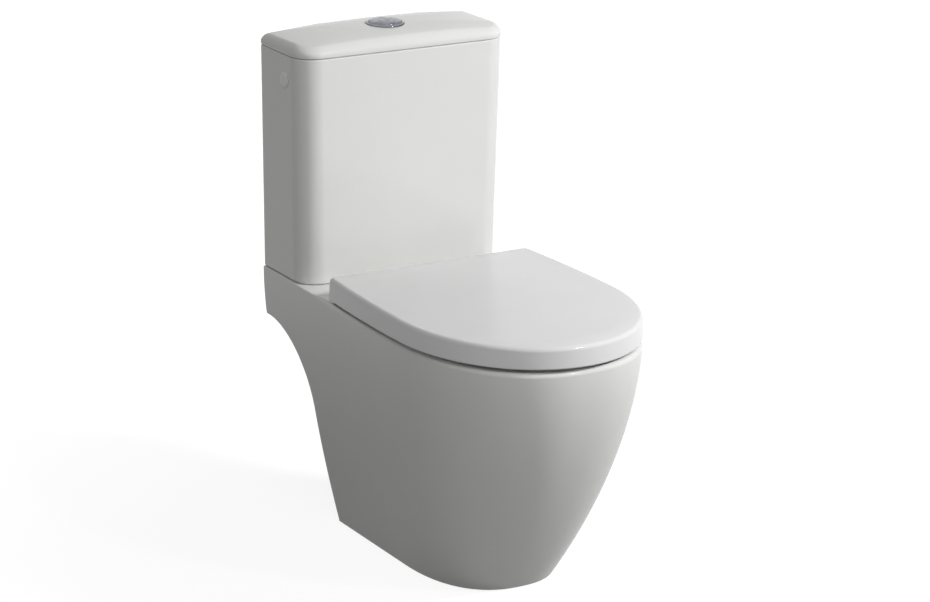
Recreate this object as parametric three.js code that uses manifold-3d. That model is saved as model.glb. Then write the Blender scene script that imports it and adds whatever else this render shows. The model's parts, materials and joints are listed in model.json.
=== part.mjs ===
// Close coupled toilet: a floor standing pan, a cistern on its rear ledge, a seat with a lid, a dual flush
// button and the valves inside the tank. Millimetres, +Z up, the front faces -Y, the wall is at +Y.
import * as THREE from 'three';
import { mergeVertices } from 'three/addons/utils/BufferGeometryUtils.js';
import Module from 'manifold-3d';

const wasm = await Module();
wasm.setup();

// ---------------------------------------------------------------------------------------------------------
// Driving dimensions. Places along Y are counted from the wall towards the front, so they are negative.
// ---------------------------------------------------------------------------------------------------------
const FIT = 0.3; // gap kept between two pieces that touch

const OVERALL_DEPTH = 665; // wall to the front of the seat
const RIM_HEIGHT = 390; // floor to the top of the pan, without the seat
const PAN_HALF_WIDTH = 180.5; // at the rim, where the pan is widest
const PAN_BASE_HALF_WIDTH = 108.7; // at the floor
const PAN_BASE_SETBACK = 167; // how far the foot stands behind the front of the rim
const PAN_WALL = 12;
const PAN_SLAB = 26; // thickness of the rim and the ledge
const NOSE_LENGTH = 248; // the rounded front part of the pan
const PAN_SIDE_BULGE = 1.5; // power of the curve that the sides follow from rim to floor
const PAN_FRONT_BULGE = 1.75; // the same for the front
const SHROUD_SETBACK = 130; // wall to the rear edge of the foot's side walls
const LEDGE_ARCH_RADIUS = 120; // sweep from the side walls up to the ledge
const LEDGE_DEPTH = 79.5; // top of the ledge down to the top of that sweep
const BOWL_HALF_WIDTH = 127;
const BOWL_RIM_WIDTH = 50; // rim at the front of the bowl
const BOWL_REAR = 258; // wall to the rear of the bowl's mouth
const BOWL_FLOOR = 60; // floor to the lowest point of the bowl
const TRAP_RADIUS = 38;
const TRAP_WALL = 11;
const OUTLET_HEIGHT = 185;
const OUTLET_SETBACK = 25; // wall to the end of the waste spigot
const OUTLET_RADIUS = 51;
const FLUSH_DUCT_RADIUS = 28;

const CISTERN_HALF_WIDTH = 180; // at the top
const CISTERN_TAPER = 6.5; // how much less at the bottom, each side
const CISTERN_DEPTH = 137;
const CISTERN_HEIGHT = 350;
const CISTERN_FRONT_CORNER = 37;
const CISTERN_REAR_CORNER = 9;
const CISTERN_WALL = 9;
const CISTERN_FLOOR = 12;
const LID_HEIGHT = 27; // lid of the tank, from its seam to its crown
const LID_OVERHANG = 0.5;
const LID_END_DROP = 8; // how far the lid's crown falls towards its ends
const LID_FRONT_DROP = 8.3;
const LID_REAR_DROP = 5;
const LID_PLATE = 13;
const LID_LIP_DEPTH = 10; // how far the lid's lip reaches into the tank

const SEAT_REAR = 209; // wall to the rear edge of the seat lid
const SEAT_OVERHANG = 4.7; // how much wider than the pan the seat is, each side
const SEAT_NOSE_LENGTH = 227.3; // the rounded front part of the seat
const SEAT_REAR_HALF_WIDTH = 175.4;
const SEAT_REAR_CORNER = 11.5;
const SEAT_LID_HEIGHT = 32.6; // skirt edge to the top edge
const SEAT_LID_CROWN = 5;
const SEAT_LID_WALL = 5;
const SEAT_GAP = 5; // skirt edge above the rim at the front
const RING_THICKNESS = 18;
const RING_LIFT = 7; // ring above the rim, on its bumpers
const HINGE_SPACING = 155;
const HINGE_SETBACK = 18; // hinge axis ahead of the lid's rear edge
const HINGE_HEIGHT = 23; // hinge axis above the rim
const HINGE_PIN_RADIUS = 3;
const HINGE_BARREL_RADIUS = 7.5;
const HINGE_BOLT_RADIUS = 3;
const HINGE_FOOT_REAR = 4.7; // rear face of a hinge's foot, behind the axis

const BUTTON_RADIUS = 24.5;
const BUTTON_RIM = 3.8;
const BUTTON_TRAVEL = 6;
const HALF_FLUSH_SLACK = 9; // how much higher the half flush tab stands on the overflow tube
const BUTTON_CUP_DEPTH = 24;
const PUSH_ROD_RADIUS = 2.5;

const VALVE_BEHIND_BUTTON = 10.5; // from the button's axis back to the flush valve's axis
const VALVE_SETBACK = CISTERN_DEPTH / 2 - VALVE_BEHIND_BUTTON; // wall to the flush valve's axis
const TUBE_RADIUS = 12; // overflow tube, outside
const CAGE_RADIUS = 34;
const TAIL_RADIUS = 27; // threaded tail of the flush valve
const GASKET_RADIUS = 42;
const ROCKER_AXLE_RADIUS = 2;
const ROCKER_HEIGHT = 310; // rocker axle above the ledge
const CISTERN_BOLT_SPACING = 150;
const CISTERN_BOLT_RADIUS = 4;

const INLET_BEHIND_FRONT = 56; // tank's front to the axis of the inlet and of the blanking plug
const INLET_SETBACK = CISTERN_DEPTH - INLET_BEHIND_FRONT;
const INLET_HEIGHT = 311; // above the ledge
const INLET_RADIUS = 8.3;
const INLET_REACH = 9; // how far the inlet tail stands out of the tank
const PLUG_CAP_RADIUS = 12;
const PLUG_CAP_HEIGHT = 2.1;
const PLUG_CAP_EDGE = 0.8;
const FLOAT_RADIUS = 17;
const FLOAT_HEIGHT = 42;
const FLOAT_TRAVEL = 14;

// ---------------------------------------------------------------------------------------------------------
// Shape tools
// ---------------------------------------------------------------------------------------------------------

/** Turns a closed geometry into a solid that can be joined and cut. */
function toSolid(geometry) {
  const bare = geometry.clone();
  bare.deleteAttribute('normal');
  bare.deleteAttribute('uv');
  const merged = mergeVertices(bare);
  return new wasm.Manifold(new wasm.Mesh({
    numProp: 3,
    vertProperties: Float32Array.from(merged.attributes.position.array),
    triVerts: Uint32Array.from(merged.index.array),
  }));
}

/** Turns a solid back into a geometry. */
function toGeometry(solid) {
  const { vertProperties, triVerts } = solid.getMesh();
  const geometry = new THREE.BufferGeometry();
  geometry.setAttribute('position', new THREE.BufferAttribute(vertProperties, 3));
  geometry.setIndex(new THREE.BufferAttribute(triVerts, 1));
  geometry.computeVertexNormals();
  return geometry;
}

/** Joins the first geometry with the others. */
function join(...geometries) {
  return toGeometry(geometries.map(toSolid).reduce((whole, piece) => whole.add(piece)));
}

/** Cuts every other geometry out of the first. */
function cut(base, ...tools) {
  return toGeometry(tools.map(toSolid).reduce((whole, tool) => whole.subtract(tool), toSolid(base)));
}

/** Skins a stack of rings that have equal counts and run counter-clockwise seen from above. */
function loft(rings) {
  const count = rings[0].length;
  const corners = rings.flat().flatMap((p) => [p.x, p.y, p.z]);
  const faces = [];
  for (let level = 0; level + 1 < rings.length; level += 1) {
    for (let i = 0; i < count; i += 1) {
      const a = level * count + i;
      const b = level * count + ((i + 1) % count);
      faces.push(a, b, b + count, a, b + count, a + count);
    }
  }
  const cap = (ring, first, up) => {
    const centre = ring.reduce((sum, p) => sum.add(p), new THREE.Vector3()).divideScalar(count);
    const hub = corners.length / 3;
    corners.push(centre.x, centre.y, centre.z);
    for (let i = 0; i < count; i += 1) {
      const a = first + i;
      const b = first + ((i + 1) % count);
      faces.push(...(up ? [a, b, hub] : [b, a, hub]));
    }
  };
  cap(rings[0], 0, false);
  cap(rings[rings.length - 1], (rings.length - 1) * count, true);
  const geometry = new THREE.BufferGeometry();
  geometry.setAttribute('position', new THREE.Float32BufferAttribute(corners, 3));
  geometry.setIndex(faces);
  return geometry;
}

/** Lifts a flat outline to a height, which may be a number or a function of the point. */
const lift = (outline, height) => outline.map((p) => new THREE.Vector3(
  p.x,
  p.y,
  typeof height === 'function' ? height(p) : height,
));

/** Closes a half outline, listed from the rear to the front at x >= 0, over the plane x = 0. */
function mirrored(half) {
  const left = half.filter((p) => p.x > 0).map((p) => new THREE.Vector2(-p.x, p.y));
  const ends = half.filter((p) => p.x === 0);
  const right = half.filter((p) => p.x > 0).reverse();
  return [ends[0], ...left, ends[1], ...right];
}

/** A quarter of a superellipse from (half, start) to (0, end), without its first point. */
function nose(half, start, end, power, count) {
  const points = [];
  for (let i = 1; i < count; i += 1) {
    const angle = (Math.PI / 2) * (i / count);
    points.push(new THREE.Vector2(
      half * Math.cos(angle) ** (2 / power),
      start + (end - start) * Math.sin(angle) ** (2 / power),
    ));
  }
  points.push(new THREE.Vector2(0, end));
  return points;
}

/** A D in plan: straight rear edge, sides that swell slightly, rounded front. */
function dOutline({ rear, rearHalf, corner, start, half, front, power }, noseCount = 12) {
  const points = [new THREE.Vector2(0, rear)];
  for (const angle of [0, Math.PI / 4, Math.PI / 2]) {
    points.push(new THREE.Vector2(
      rearHalf - corner * (1 - Math.sin(angle)),
      rear - corner * (1 - Math.cos(angle)),
    ));
  }
  const sideSteps = 3;
  for (let i = 1; i <= sideSteps; i += 1) {
    const share = i / sideSteps;
    points.push(new THREE.Vector2(
      rearHalf + (half - rearHalf) * (1 - (1 - share) ** 2),
      rear - corner + (start - rear + corner) * share,
    ));
  }
  return mirrored([...points, ...nose(half, start, front, power, noseCount)]);
}

/** A rounded rectangle in plan that has other corners at the front than at the rear. */
function boxOutline(half, rear, front, rearCorner, frontCorner, cornerSteps = 5) {
  const points = [new THREE.Vector2(0, rear)];
  for (let i = 0; i <= 3; i += 1) {
    const angle = (Math.PI / 2) * (i / 3);
    points.push(new THREE.Vector2(
      half - rearCorner * (1 - Math.sin(angle)),
      rear - rearCorner * (1 - Math.cos(angle)),
    ));
  }
  for (let i = 0; i <= cornerSteps; i += 1) {
    const angle = (Math.PI / 2) * (i / cornerSteps);
    points.push(new THREE.Vector2(
      half - frontCorner * (1 - Math.cos(angle)),
      front + frontCorner * (1 - Math.sin(angle)),
    ));
  }
  return mirrored([...points, new THREE.Vector2(0, front)]);
}

/** An egg in plan. */
function eggOutline(half, rear, middle, front, power, count) {
  const back = nose(half, middle, rear, power, count).reverse();
  return mirrored([...back, new THREE.Vector2(half, middle), ...nose(half, middle, front, power, count)]);
}

/** Turns a profile of [radius, height] pairs around Z. It starts and ends on the axis or closes on itself. */
function turned(profile, sides = 24) {
  const closed = [...profile];
  if (profile[0][0] > 0) closed.push(profile[0]);
  const points = closed.map(([radius, height]) => new THREE.Vector2(radius, height));
  return new THREE.LatheGeometry(points, sides).rotateX(Math.PI / 2);
}

/** A solid round bar along Z. */
const bar = (radius, bottom, top, sides = 20) => turned(
  [[0, bottom], [radius, bottom], [radius, top], [0, top]],
  sides,
);

/** A round ring along Z. */
const collar = (inner, outer, bottom, top, sides = 24) => turned(
  [[inner, bottom], [outer, bottom], [outer, top], [inner, top]],
  sides,
);

/** Turns a geometry that stands along Z so that it lies along X. */
const alongX = (geometry) => geometry.rotateY(Math.PI / 2);

/** Turns a geometry that stands along Z so that it lies along Y. */
const alongY = (geometry) => geometry.rotateX(-Math.PI / 2);

/** A block between two corners. */
function block(x0, x1, y0, y1, z0, z1) {
  return new THREE.BoxGeometry(x1 - x0, y1 - y0, z1 - z0)
    .translate((x0 + x1) / 2, (y0 + y1) / 2, (z0 + z1) / 2);
}

/** A round bar that follows a smooth curve through the points. */
function tube(points, radius, steps, sides = 20) {
  const section = new THREE.Shape().absarc(0, 0, radius, 0, Math.PI * 2);
  return new THREE.ExtrudeGeometry(section, {
    steps,
    curveSegments: sides / 2,
    bevelEnabled: false,
    extrudePath: new THREE.CatmullRomCurve3(points),
  });
}

/** A prism along X whose section is a list of [y, z] corners. */
function prism(corners, x0, x1) {
  const shape = new THREE.Shape(corners.map(([y, z]) => new THREE.Vector2(y, z)));
  return new THREE.ExtrudeGeometry(shape, { depth: x1 - x0, bevelEnabled: false })
    .applyMatrix4(new THREE.Matrix4().makeBasis(
      new THREE.Vector3(0, 1, 0),
      new THREE.Vector3(0, 0, 1),
      new THREE.Vector3(1, 0, 0),
    ))
    .translate(x0, 0, 0);
}

/** Points [y, z] of an arc, for a prism. */
function arc(y, z, radius, from, to, steps) {
  return Array.from({ length: steps + 1 }, (_, i) => {
    const angle = from + (to - from) * (i / steps);
    return [y + radius * Math.cos(angle), z + radius * Math.sin(angle)];
  });
}

/** A six-sided nut, along Z. */
const hexNut = (bore, outer, bottom, top) => cut(
  bar(outer, bottom, top, 6),
  bar(bore, bottom - 1, top + 1, 20),
);

/** A nut with two wings, along Z. */
function wingNut(bore, bottom, height) {
  const hub = collar(bore, bore + 4, bottom, bottom + height, 16);
  const wing = (side) => block(
    Math.min(side * (bore + 3), side * (bore + 12)),
    Math.max(side * (bore + 3), side * (bore + 12)),
    -1.5,
    1.5,
    bottom - 4,
    bottom + height - 2,
  );
  return join(hub, wing(-1), wing(1));
}

// ---------------------------------------------------------------------------------------------------------
// Finishes
// ---------------------------------------------------------------------------------------------------------
const finish = (color, roughness, metalness) => () => new THREE.MeshStandardMaterial({
  color,
  roughness,
  metalness,
});
const china = finish('#dededc', 0.12, 0);
const seatPlastic = finish('#e2e2e2', 0.22, 0);
const chrome = finish('#8f9096', 0.15, 1);
const steel = finish('#b4b6b8', 0.35, 1);
const brass = finish('#b08d4c', 0.35, 1);
const valvePlastic = finish('#e9e9e4', 0.5, 0);
const bluePlastic = finish('#3f6fa8', 0.5, 0);
const greyPlastic = finish('#8d9194', 0.5, 0);
const rubber = finish('#2b2b2b', 0.8, 0);
const softRubber = finish('#d8d8d4', 0.7, 0);

const toilet = new THREE.Group();
toilet.position.y = OVERALL_DEPTH / 2;

const group = (parent, x, y, z) => {
  const child = new THREE.Group();
  child.position.set(x, y, z);
  parent.add(child);
  return child;
};

const place = (parent, name, geometry, material) => {
  const mesh = new THREE.Mesh(geometry, material());
  mesh.name = name;
  parent.add(mesh);
};

const SIDES = [['left', -1], ['right', 1]];
const aboveRim = group(toilet, 0, 0, RIM_HEIGHT);

// ---------------------------------------------------------------------------------------------------------
// Pan
// ---------------------------------------------------------------------------------------------------------

/** The pan's outline at a height, drawn in by an inset. The rear runs on to the wall. */
function panOutline(height, inset = 0) {
  const drop = 1 - height / RIM_HEIGHT;
  const half = PAN_HALF_WIDTH - (PAN_HALF_WIDTH - PAN_BASE_HALF_WIDTH) * drop ** PAN_SIDE_BULGE;
  const front = 3 - OVERALL_DEPTH + PAN_BASE_SETBACK * drop ** PAN_FRONT_BULGE;
  return dOutline({
    rear: -2,
    rearHalf: half - 6 * (1 - drop) - inset,
    corner: 3,
    start: NOSE_LENGTH - OVERALL_DEPTH + (front - 3 + OVERALL_DEPTH) / 2,
    half: half - inset,
    front: front + inset,
    power: 2.3 + 0.12 * drop,
  }, 10);
}

/** The bowl at a depth from 0 at the rim to 1 at its lowest point, grown by an offset. */
function bowlRing(depth, grow = 0) {
  const front = BOWL_RIM_WIDTH + 3 - OVERALL_DEPTH;
  const sumpFront = -BOWL_REAR - 134;
  return lift(
    eggOutline(
      44 + (BOWL_HALF_WIDTH - 44) * (1 - depth ** 2.1) ** 0.75 + grow,
      -BOWL_REAR - 42 * depth ** 1.2 + grow,
      -BOWL_REAR - 92 - 60 * (1 - depth),
      sumpFront + (front - sumpFront) * (1 - depth ** 1.7) ** 0.8 - grow,
      2.15,
      7,
    ),
    RIM_HEIGHT + (BOWL_FLOOR - RIM_HEIGHT) * depth - grow * depth,
  );
}

const trapRoute = [
  [350, 104],
  [322, 74],
  [284, 82],
  [246, 128],
  [210, 180],
  [168, 204],
  [112, 191],
  [60, OUTLET_HEIGHT],
].map(([setback, height]) => new THREE.Vector3(0, -setback, height));

const ductRoute = [
  [VALVE_SETBACK, 30],
  [VALVE_SETBACK + 6, 50],
  [VALVE_SETBACK + 38, 66],
  [VALVE_SETBACK + 110, 66],
  [BOWL_REAR - 30, 58],
  [BOWL_REAR + 12, 52],
].map(([setback, drop]) => new THREE.Vector3(0, -setback, RIM_HEIGHT - drop));

function panGeometry() {
  const heights = [0, 0.01, 0.2, 0.4, 0.6, 0.8, 0.985, 1].map((share) => share * RIM_HEIGHT);
  const edgeInset = (height) => {
    if (height === 0) return 2;
    return height === RIM_HEIGHT ? 5 : 0;
  };
  const body = toSolid(loft(heights.map((h) => lift(panOutline(h, edgeInset(h)), h))));
  const archTop = RIM_HEIGHT - LEDGE_DEPTH;
  const arch = toSolid(prism([
    [5, -1],
    [-SHROUD_SETBACK, -1],
    ...arc(
      -SHROUD_SETBACK + LEDGE_ARCH_RADIUS,
      archTop - LEDGE_ARCH_RADIUS,
      LEDGE_ARCH_RADIUS,
      Math.PI,
      Math.PI / 2,
      10,
    ),
    [5, archTop],
  ], -PAN_HALF_WIDTH - 5, PAN_HALF_WIDTH + 5));

  const slabBottom = RIM_HEIGHT - PAN_SLAB;
  const hollowHeights = [0, 0.25, 0.5, 0.75, 1].map((share) => share * slabBottom);
  const hollow = toSolid(loft(hollowHeights.map((h) => {
    const ring = panOutline(h, PAN_WALL).map((p) => new THREE.Vector2(p.x, p.y > -6 ? 5 : p.y));
    return lift(ring, h === 0 ? -1 : h);
  })));

  const depths = [0, 0.2, 0.4, 0.58, 0.75, 0.9, 1];
  const bowlOutside = toSolid(loft(depths.map((d) => bowlRing(d, TRAP_WALL)).reverse()));
  const bowlInside = toSolid(loft([...depths.map((d) => bowlRing(d)).reverse(), bowlRing(0).map(
    (p) => new THREE.Vector3(p.x, p.y, RIM_HEIGHT + 5),
  )]));
  const trap = (radius) => toSolid(tube(trapRoute, radius, 14, 16));
  const spigot = (radius, rear) => toSolid(
    alongY(bar(radius, -79, -rear, 24)).translate(0, 0, OUTLET_HEIGHT),
  );
  const duct = (radius) => toSolid(tube(ductRoute, radius, 8, 14));
  const inlet = (radius, bottom, top) => toSolid(
    bar(radius, RIM_HEIGHT - bottom, RIM_HEIGHT - top, 24).translate(0, -VALVE_SETBACK, 0),
  );

  let pan = body
    .subtract(arch)
    .subtract(hollow)
    .add(bowlOutside)
    .add(trap(TRAP_RADIUS + TRAP_WALL))
    .add(spigot(OUTLET_RADIUS, OUTLET_SETBACK))
    .add(duct(FLUSH_DUCT_RADIUS + 9).subtract(body.subtract(hollow)))
    .subtract(bowlInside)
    .subtract(trap(TRAP_RADIUS))
    .subtract(spigot(OUTLET_RADIUS - 10, OUTLET_SETBACK - 5))
    .subtract(duct(FLUSH_DUCT_RADIUS))
    .subtract(inlet(TAIL_RADIUS + 7, PAN_SLAB + 6, -1))
    .subtract(inlet(GASKET_RADIUS + FIT, 8, -1));
  for (const [, side] of SIDES) {
    const hole = (radius, x, y) => toSolid(
      bar(radius, slabBottom - 5, RIM_HEIGHT + 5, 16).translate(x, y, 0),
    );
    pan = pan
      .subtract(hole(HINGE_BOLT_RADIUS + 3, side * (HINGE_SPACING / 2), -SEAT_REAR - HINGE_SETBACK))
      .subtract(hole(CISTERN_BOLT_RADIUS + 2, side * (CISTERN_BOLT_SPACING / 2), -CISTERN_DEPTH / 2));
  }
  return toGeometry(pan);
}

place(toilet, 'pan', panGeometry(), china);

// ---------------------------------------------------------------------------------------------------------
// Cistern and its lid
// ---------------------------------------------------------------------------------------------------------
const CISTERN_BOTTOM = FIT;
const CISTERN_TOP = CISTERN_BOTTOM + CISTERN_HEIGHT;

/** Half of the tank's width at a height above the ledge. */
const tankHalf = (height) => CISTERN_HALF_WIDTH
  - CISTERN_TAPER * (1 - (height - CISTERN_BOTTOM) / CISTERN_HEIGHT);

/** The tank's outline at a height above the ledge, drawn in by an inset. */
const tankOutline = (height, inset) => boxOutline(
  tankHalf(height) - inset,
  -inset,
  -CISTERN_DEPTH + inset,
  Math.max(CISTERN_REAR_CORNER - inset, 2),
  Math.max(CISTERN_FRONT_CORNER - inset, 2),
);

const sideHole = (side, radius) => alongX(bar(radius, -30, 30, 20))
  .translate(side * CISTERN_HALF_WIDTH, -INLET_SETBACK, INLET_HEIGHT);

const tankShell = loft([
  lift(tankOutline(CISTERN_BOTTOM, 2.5), CISTERN_BOTTOM),
  lift(tankOutline(CISTERN_BOTTOM + 3, 0), CISTERN_BOTTOM + 3),
  lift(tankOutline(CISTERN_TOP, 0), CISTERN_TOP),
]);
const tankRoom = loft([
  lift(tankOutline(CISTERN_BOTTOM, CISTERN_WALL), CISTERN_BOTTOM + CISTERN_FLOOR),
  lift(tankOutline(CISTERN_TOP, CISTERN_WALL), CISTERN_TOP + 1),
]);
const tankFloorHole = (radius, x, y) => bar(radius, -5, CISTERN_FLOOR + 5, 20).translate(x, y, 0);

place(aboveRim, 'cistern', cut(
  tankShell,
  tankRoom,
  tankFloorHole(TAIL_RADIUS + 2, 0, -VALVE_SETBACK),
  tankFloorHole(CISTERN_BOLT_RADIUS + 2, -CISTERN_BOLT_SPACING / 2, -CISTERN_DEPTH / 2),
  tankFloorHole(CISTERN_BOLT_RADIUS + 2, CISTERN_BOLT_SPACING / 2, -CISTERN_DEPTH / 2),
  sideHole(-1, INLET_RADIUS + 1.2),
  sideHole(1, INLET_RADIUS + 1.2),
), china);

const LID_BOTTOM = CISTERN_TOP + FIT;
const LID_TOP = LID_BOTTOM + LID_HEIGHT;
const BUTTON_Y = -CISTERN_DEPTH / 2;
const BUTTON_SEAT = LID_TOP - 2; // the flat on the lid that the bezel stands on

/** Height of the lid's crowned top at a point. */
const lidCrown = (p) => LID_TOP
  - LID_END_DROP * Math.abs(p.x / CISTERN_HALF_WIDTH) ** 2.8
  - (p.y < BUTTON_Y ? LID_FRONT_DROP : LID_REAR_DROP) * Math.abs((p.y - BUTTON_Y) / BUTTON_Y) ** 3;

/** The lid's outline, drawn in by an inset. */
const lidOutline = (inset) => boxOutline(
  CISTERN_HALF_WIDTH + LID_OVERHANG - inset,
  -inset,
  -CISTERN_DEPTH - LID_OVERHANG + inset,
  Math.max(CISTERN_REAR_CORNER + LID_OVERHANG - inset, 2),
  Math.max(CISTERN_FRONT_CORNER + LID_OVERHANG - inset, 2),
);

function cisternLidGeometry() {
  const shrunk = (share) => lidOutline(9).map((p) => new THREE.Vector2(
    p.x * share,
    BUTTON_Y + (p.y - BUTTON_Y) * share,
  ));
  const outside = loft([
    lift(lidOutline(1), LID_BOTTOM),
    lift(lidOutline(0), LID_BOTTOM + 1.2),
    lift(lidOutline(0), LID_BOTTOM + 5),
    lift(lidOutline(2.4), (p) => Math.max(lidCrown(p) - 4, LID_BOTTOM + 6)),
    lift(lidOutline(9), lidCrown),
    lift(shrunk(0.75), lidCrown),
    lift(shrunk(0.5), lidCrown),
    lift(shrunk(0.25), lidCrown),
  ]);
  const lipInset = CISTERN_WALL + 1.5;
  const lipBottom = CISTERN_TOP - LID_LIP_DEPTH;
  const lip = loft([
    lift(tankOutline(CISTERN_TOP, lipInset), lipBottom),
    lift(tankOutline(CISTERN_TOP, lipInset), LID_BOTTOM + 2),
  ]);
  const room = loft([
    lift(tankOutline(CISTERN_TOP, lipInset + 6), lipBottom - 1),
    lift(tankOutline(CISTERN_TOP, lipInset + 6), LID_TOP - LID_PLATE - 5),
    lift(tankOutline(CISTERN_TOP, lipInset + 14), LID_TOP - LID_PLATE),
  ]);
  return toGeometry(toSolid(outside).add(toSolid(lip)).subtract(toSolid(room))
    .subtract(toSolid(bar(BUTTON_RADIUS + 3.3, -400, LID_TOP + 50, 32).translate(0, BUTTON_Y, 0)))
    .subtract(toSolid(
      bar(BUTTON_RADIUS + BUTTON_RIM + 1.5, BUTTON_SEAT, LID_TOP + 50, 32).translate(0, BUTTON_Y, 0),
    )));
}

place(aboveRim, 'cistern_lid', cisternLidGeometry(), china);

// ---------------------------------------------------------------------------------------------------------
// Seat, on its hinges
// ---------------------------------------------------------------------------------------------------------
const HINGE_Y = -SEAT_REAR - HINGE_SETBACK;
const FRONT_Y = -OVERALL_DEPTH;
const SEAT_HALF_WIDTH = PAN_HALF_WIDTH + SEAT_OVERHANG;
const NOSE_Y = FRONT_Y + SEAT_NOSE_LENGTH;
const LID_EDGE_TOP = SEAT_GAP + SEAT_LID_HEIGHT;
const LID_INSIDE_TOP = LID_EDGE_TOP - SEAT_LID_WALL;
const RING_TOP = RING_LIFT + RING_THICKNESS;
const SWING_RADIUS = HINGE_HEIGHT - 1; // what passes between the hinge axis and the rim
const POST_HALF = 10;
const EAR_WIDTH = 9;
const EAR_GAP = 0.5;

/** The seat's outline, drawn in by an inset, with its rear edge where wanted. */
const seatOutline = (inset, rear = -SEAT_REAR - inset) => dOutline({
  rear,
  rearHalf: SEAT_REAR_HALF_WIDTH - inset,
  corner: Math.max(SEAT_REAR_CORNER - inset, 6),
  start: NOSE_Y,
  half: SEAT_HALF_WIDTH - inset,
  front: FRONT_Y + inset,
  power: 2.05,
}, 10);

/** The skirt's lower edge rises from the hinges to the front. */
const skirtEdge = (p) => SEAT_GAP - 2 * Math.min(1, Math.max(0, (p.y - NOSE_Y) / (-SEAT_REAR - NOSE_Y)));

/** An ear on a hinge pin: a round end about the axis and an arm that reaches forward. */
const ear = (x, forward, bottom, top) => join(
  alongX(bar(HINGE_BARREL_RADIUS, -EAR_WIDTH / 2, EAR_WIDTH / 2, 20)).translate(x, HINGE_Y, HINGE_HEIGHT),
  block(x - EAR_WIDTH / 2, x + EAR_WIDTH / 2, forward, HINGE_Y, bottom, top),
);
const pinBore = (x) => alongX(bar(HINGE_PIN_RADIUS + FIT, -EAR_WIDTH, EAR_WIDTH, 20))
  .translate(x, HINGE_Y, HINGE_HEIGHT);

const postX = (side) => side * (HINGE_SPACING / 2);
const ringEarX = (side) => postX(side) + side * (POST_HALF + EAR_GAP + EAR_WIDTH / 2);
const lidEarX = (side) => postX(side) - side * (POST_HALF + EAR_GAP + EAR_WIDTH / 2);

function seatLidGeometry() {
  const crown = (p) => {
    const reach = (p.y - FRONT_Y) / (-SEAT_REAR - FRONT_Y) - 0.5;
    const spread = p.x / SEAT_HALF_WIDTH;
    return LID_EDGE_TOP + SEAT_LID_CROWN * Math.max(0, 1 - spread * spread - 2 * reach * reach);
  };
  const centreY = (FRONT_Y - SEAT_REAR) / 2;
  const shrunk = (share) => seatOutline(6).map((p) => new THREE.Vector2(
    p.x * share,
    centreY + (p.y - centreY) * share,
  ));
  const outside = loft([
    lift(seatOutline(0), skirtEdge),
    lift(seatOutline(1.2), LID_EDGE_TOP - 5),
    lift(seatOutline(2.6), LID_EDGE_TOP - 1.5),
    lift(seatOutline(6), crown),
    lift(shrunk(0.66), crown),
    lift(shrunk(0.33), crown),
  ]);
  const room = loft([
    lift(seatOutline(SEAT_LID_WALL), -5),
    lift(seatOutline(SEAT_LID_WALL), LID_INSIDE_TOP - 3),
    lift(seatOutline(SEAT_LID_WALL + 3), LID_INSIDE_TOP),
  ]);
  const sweep = prism([
    [HINGE_Y, -10],
    [HINGE_Y + 60, -10],
    [HINGE_Y + 60, HINGE_HEIGHT],
    ...arc(HINGE_Y, HINGE_HEIGHT, SWING_RADIUS, 0, -Math.PI / 2, 6),
  ], -SEAT_HALF_WIDTH, SEAT_HALF_WIDTH);
  const window = (side) => {
    const inner = POST_HALF + EAR_WIDTH + 3 * EAR_GAP;
    return block(
      postX(side) - inner,
      postX(side) + inner,
      HINGE_Y + HINGE_BARREL_RADIUS,
      -SEAT_REAR + 5,
      -10,
      LID_INSIDE_TOP,
    );
  };
  const arm = (side) => ear(lidEarX(side), HINGE_Y - 9, HINGE_HEIGHT, LID_INSIDE_TOP + 1);
  let lid = toSolid(outside).subtract(toSolid(room)).subtract(toSolid(sweep));
  for (const [, side] of SIDES) {
    lid = lid
      .subtract(toSolid(window(side)))
      .add(toSolid(arm(side)))
      .subtract(toSolid(pinBore(lidEarX(side))));
  }
  return toGeometry(lid);
}

function seatRingGeometry() {
  const inset = SEAT_LID_WALL + 2.5;
  const rear = HINGE_Y - HINGE_BARREL_RADIUS - 5;
  const outline = (extra) => seatOutline(inset + extra, rear - extra);
  const hole = (extra) => eggOutline(
    BOWL_HALF_WIDTH - 17 - extra,
    rear - 52 - extra,
    rear - 200,
    FRONT_Y + 64 + extra,
    2.1,
    7,
  );
  const outside = loft([
    lift(outline(3), RING_LIFT),
    lift(outline(0), RING_LIFT + 3),
    lift(outline(0), RING_TOP - 5),
    lift(outline(5), RING_TOP),
  ]);
  const opening = loft([
    lift(hole(-4), RING_LIFT - 1),
    lift(hole(0), RING_LIFT + 5),
    lift(hole(0), RING_TOP - 6),
    lift(hole(-7), RING_TOP + 1),
  ]);
  let ring = toSolid(outside).subtract(toSolid(opening));
  for (const [, side] of SIDES) {
    ring = ring
      .add(toSolid(ear(ringEarX(side), rear - 12, RING_LIFT + 2, RING_TOP)))
      .subtract(toSolid(pinBore(ringEarX(side))));
  }
  return toGeometry(ring);
}

place(aboveRim, 'seat_ring', seatRingGeometry(), seatPlastic);
place(aboveRim, 'seat_lid', seatLidGeometry(), seatPlastic);

/** A rounded pad along Z. */
const pad = (radius, bottom, top) => turned([
  [0, bottom],
  [radius - 1.5, bottom],
  [radius, bottom + 1.5],
  [radius, top],
  [0, top],
], 16);

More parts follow.
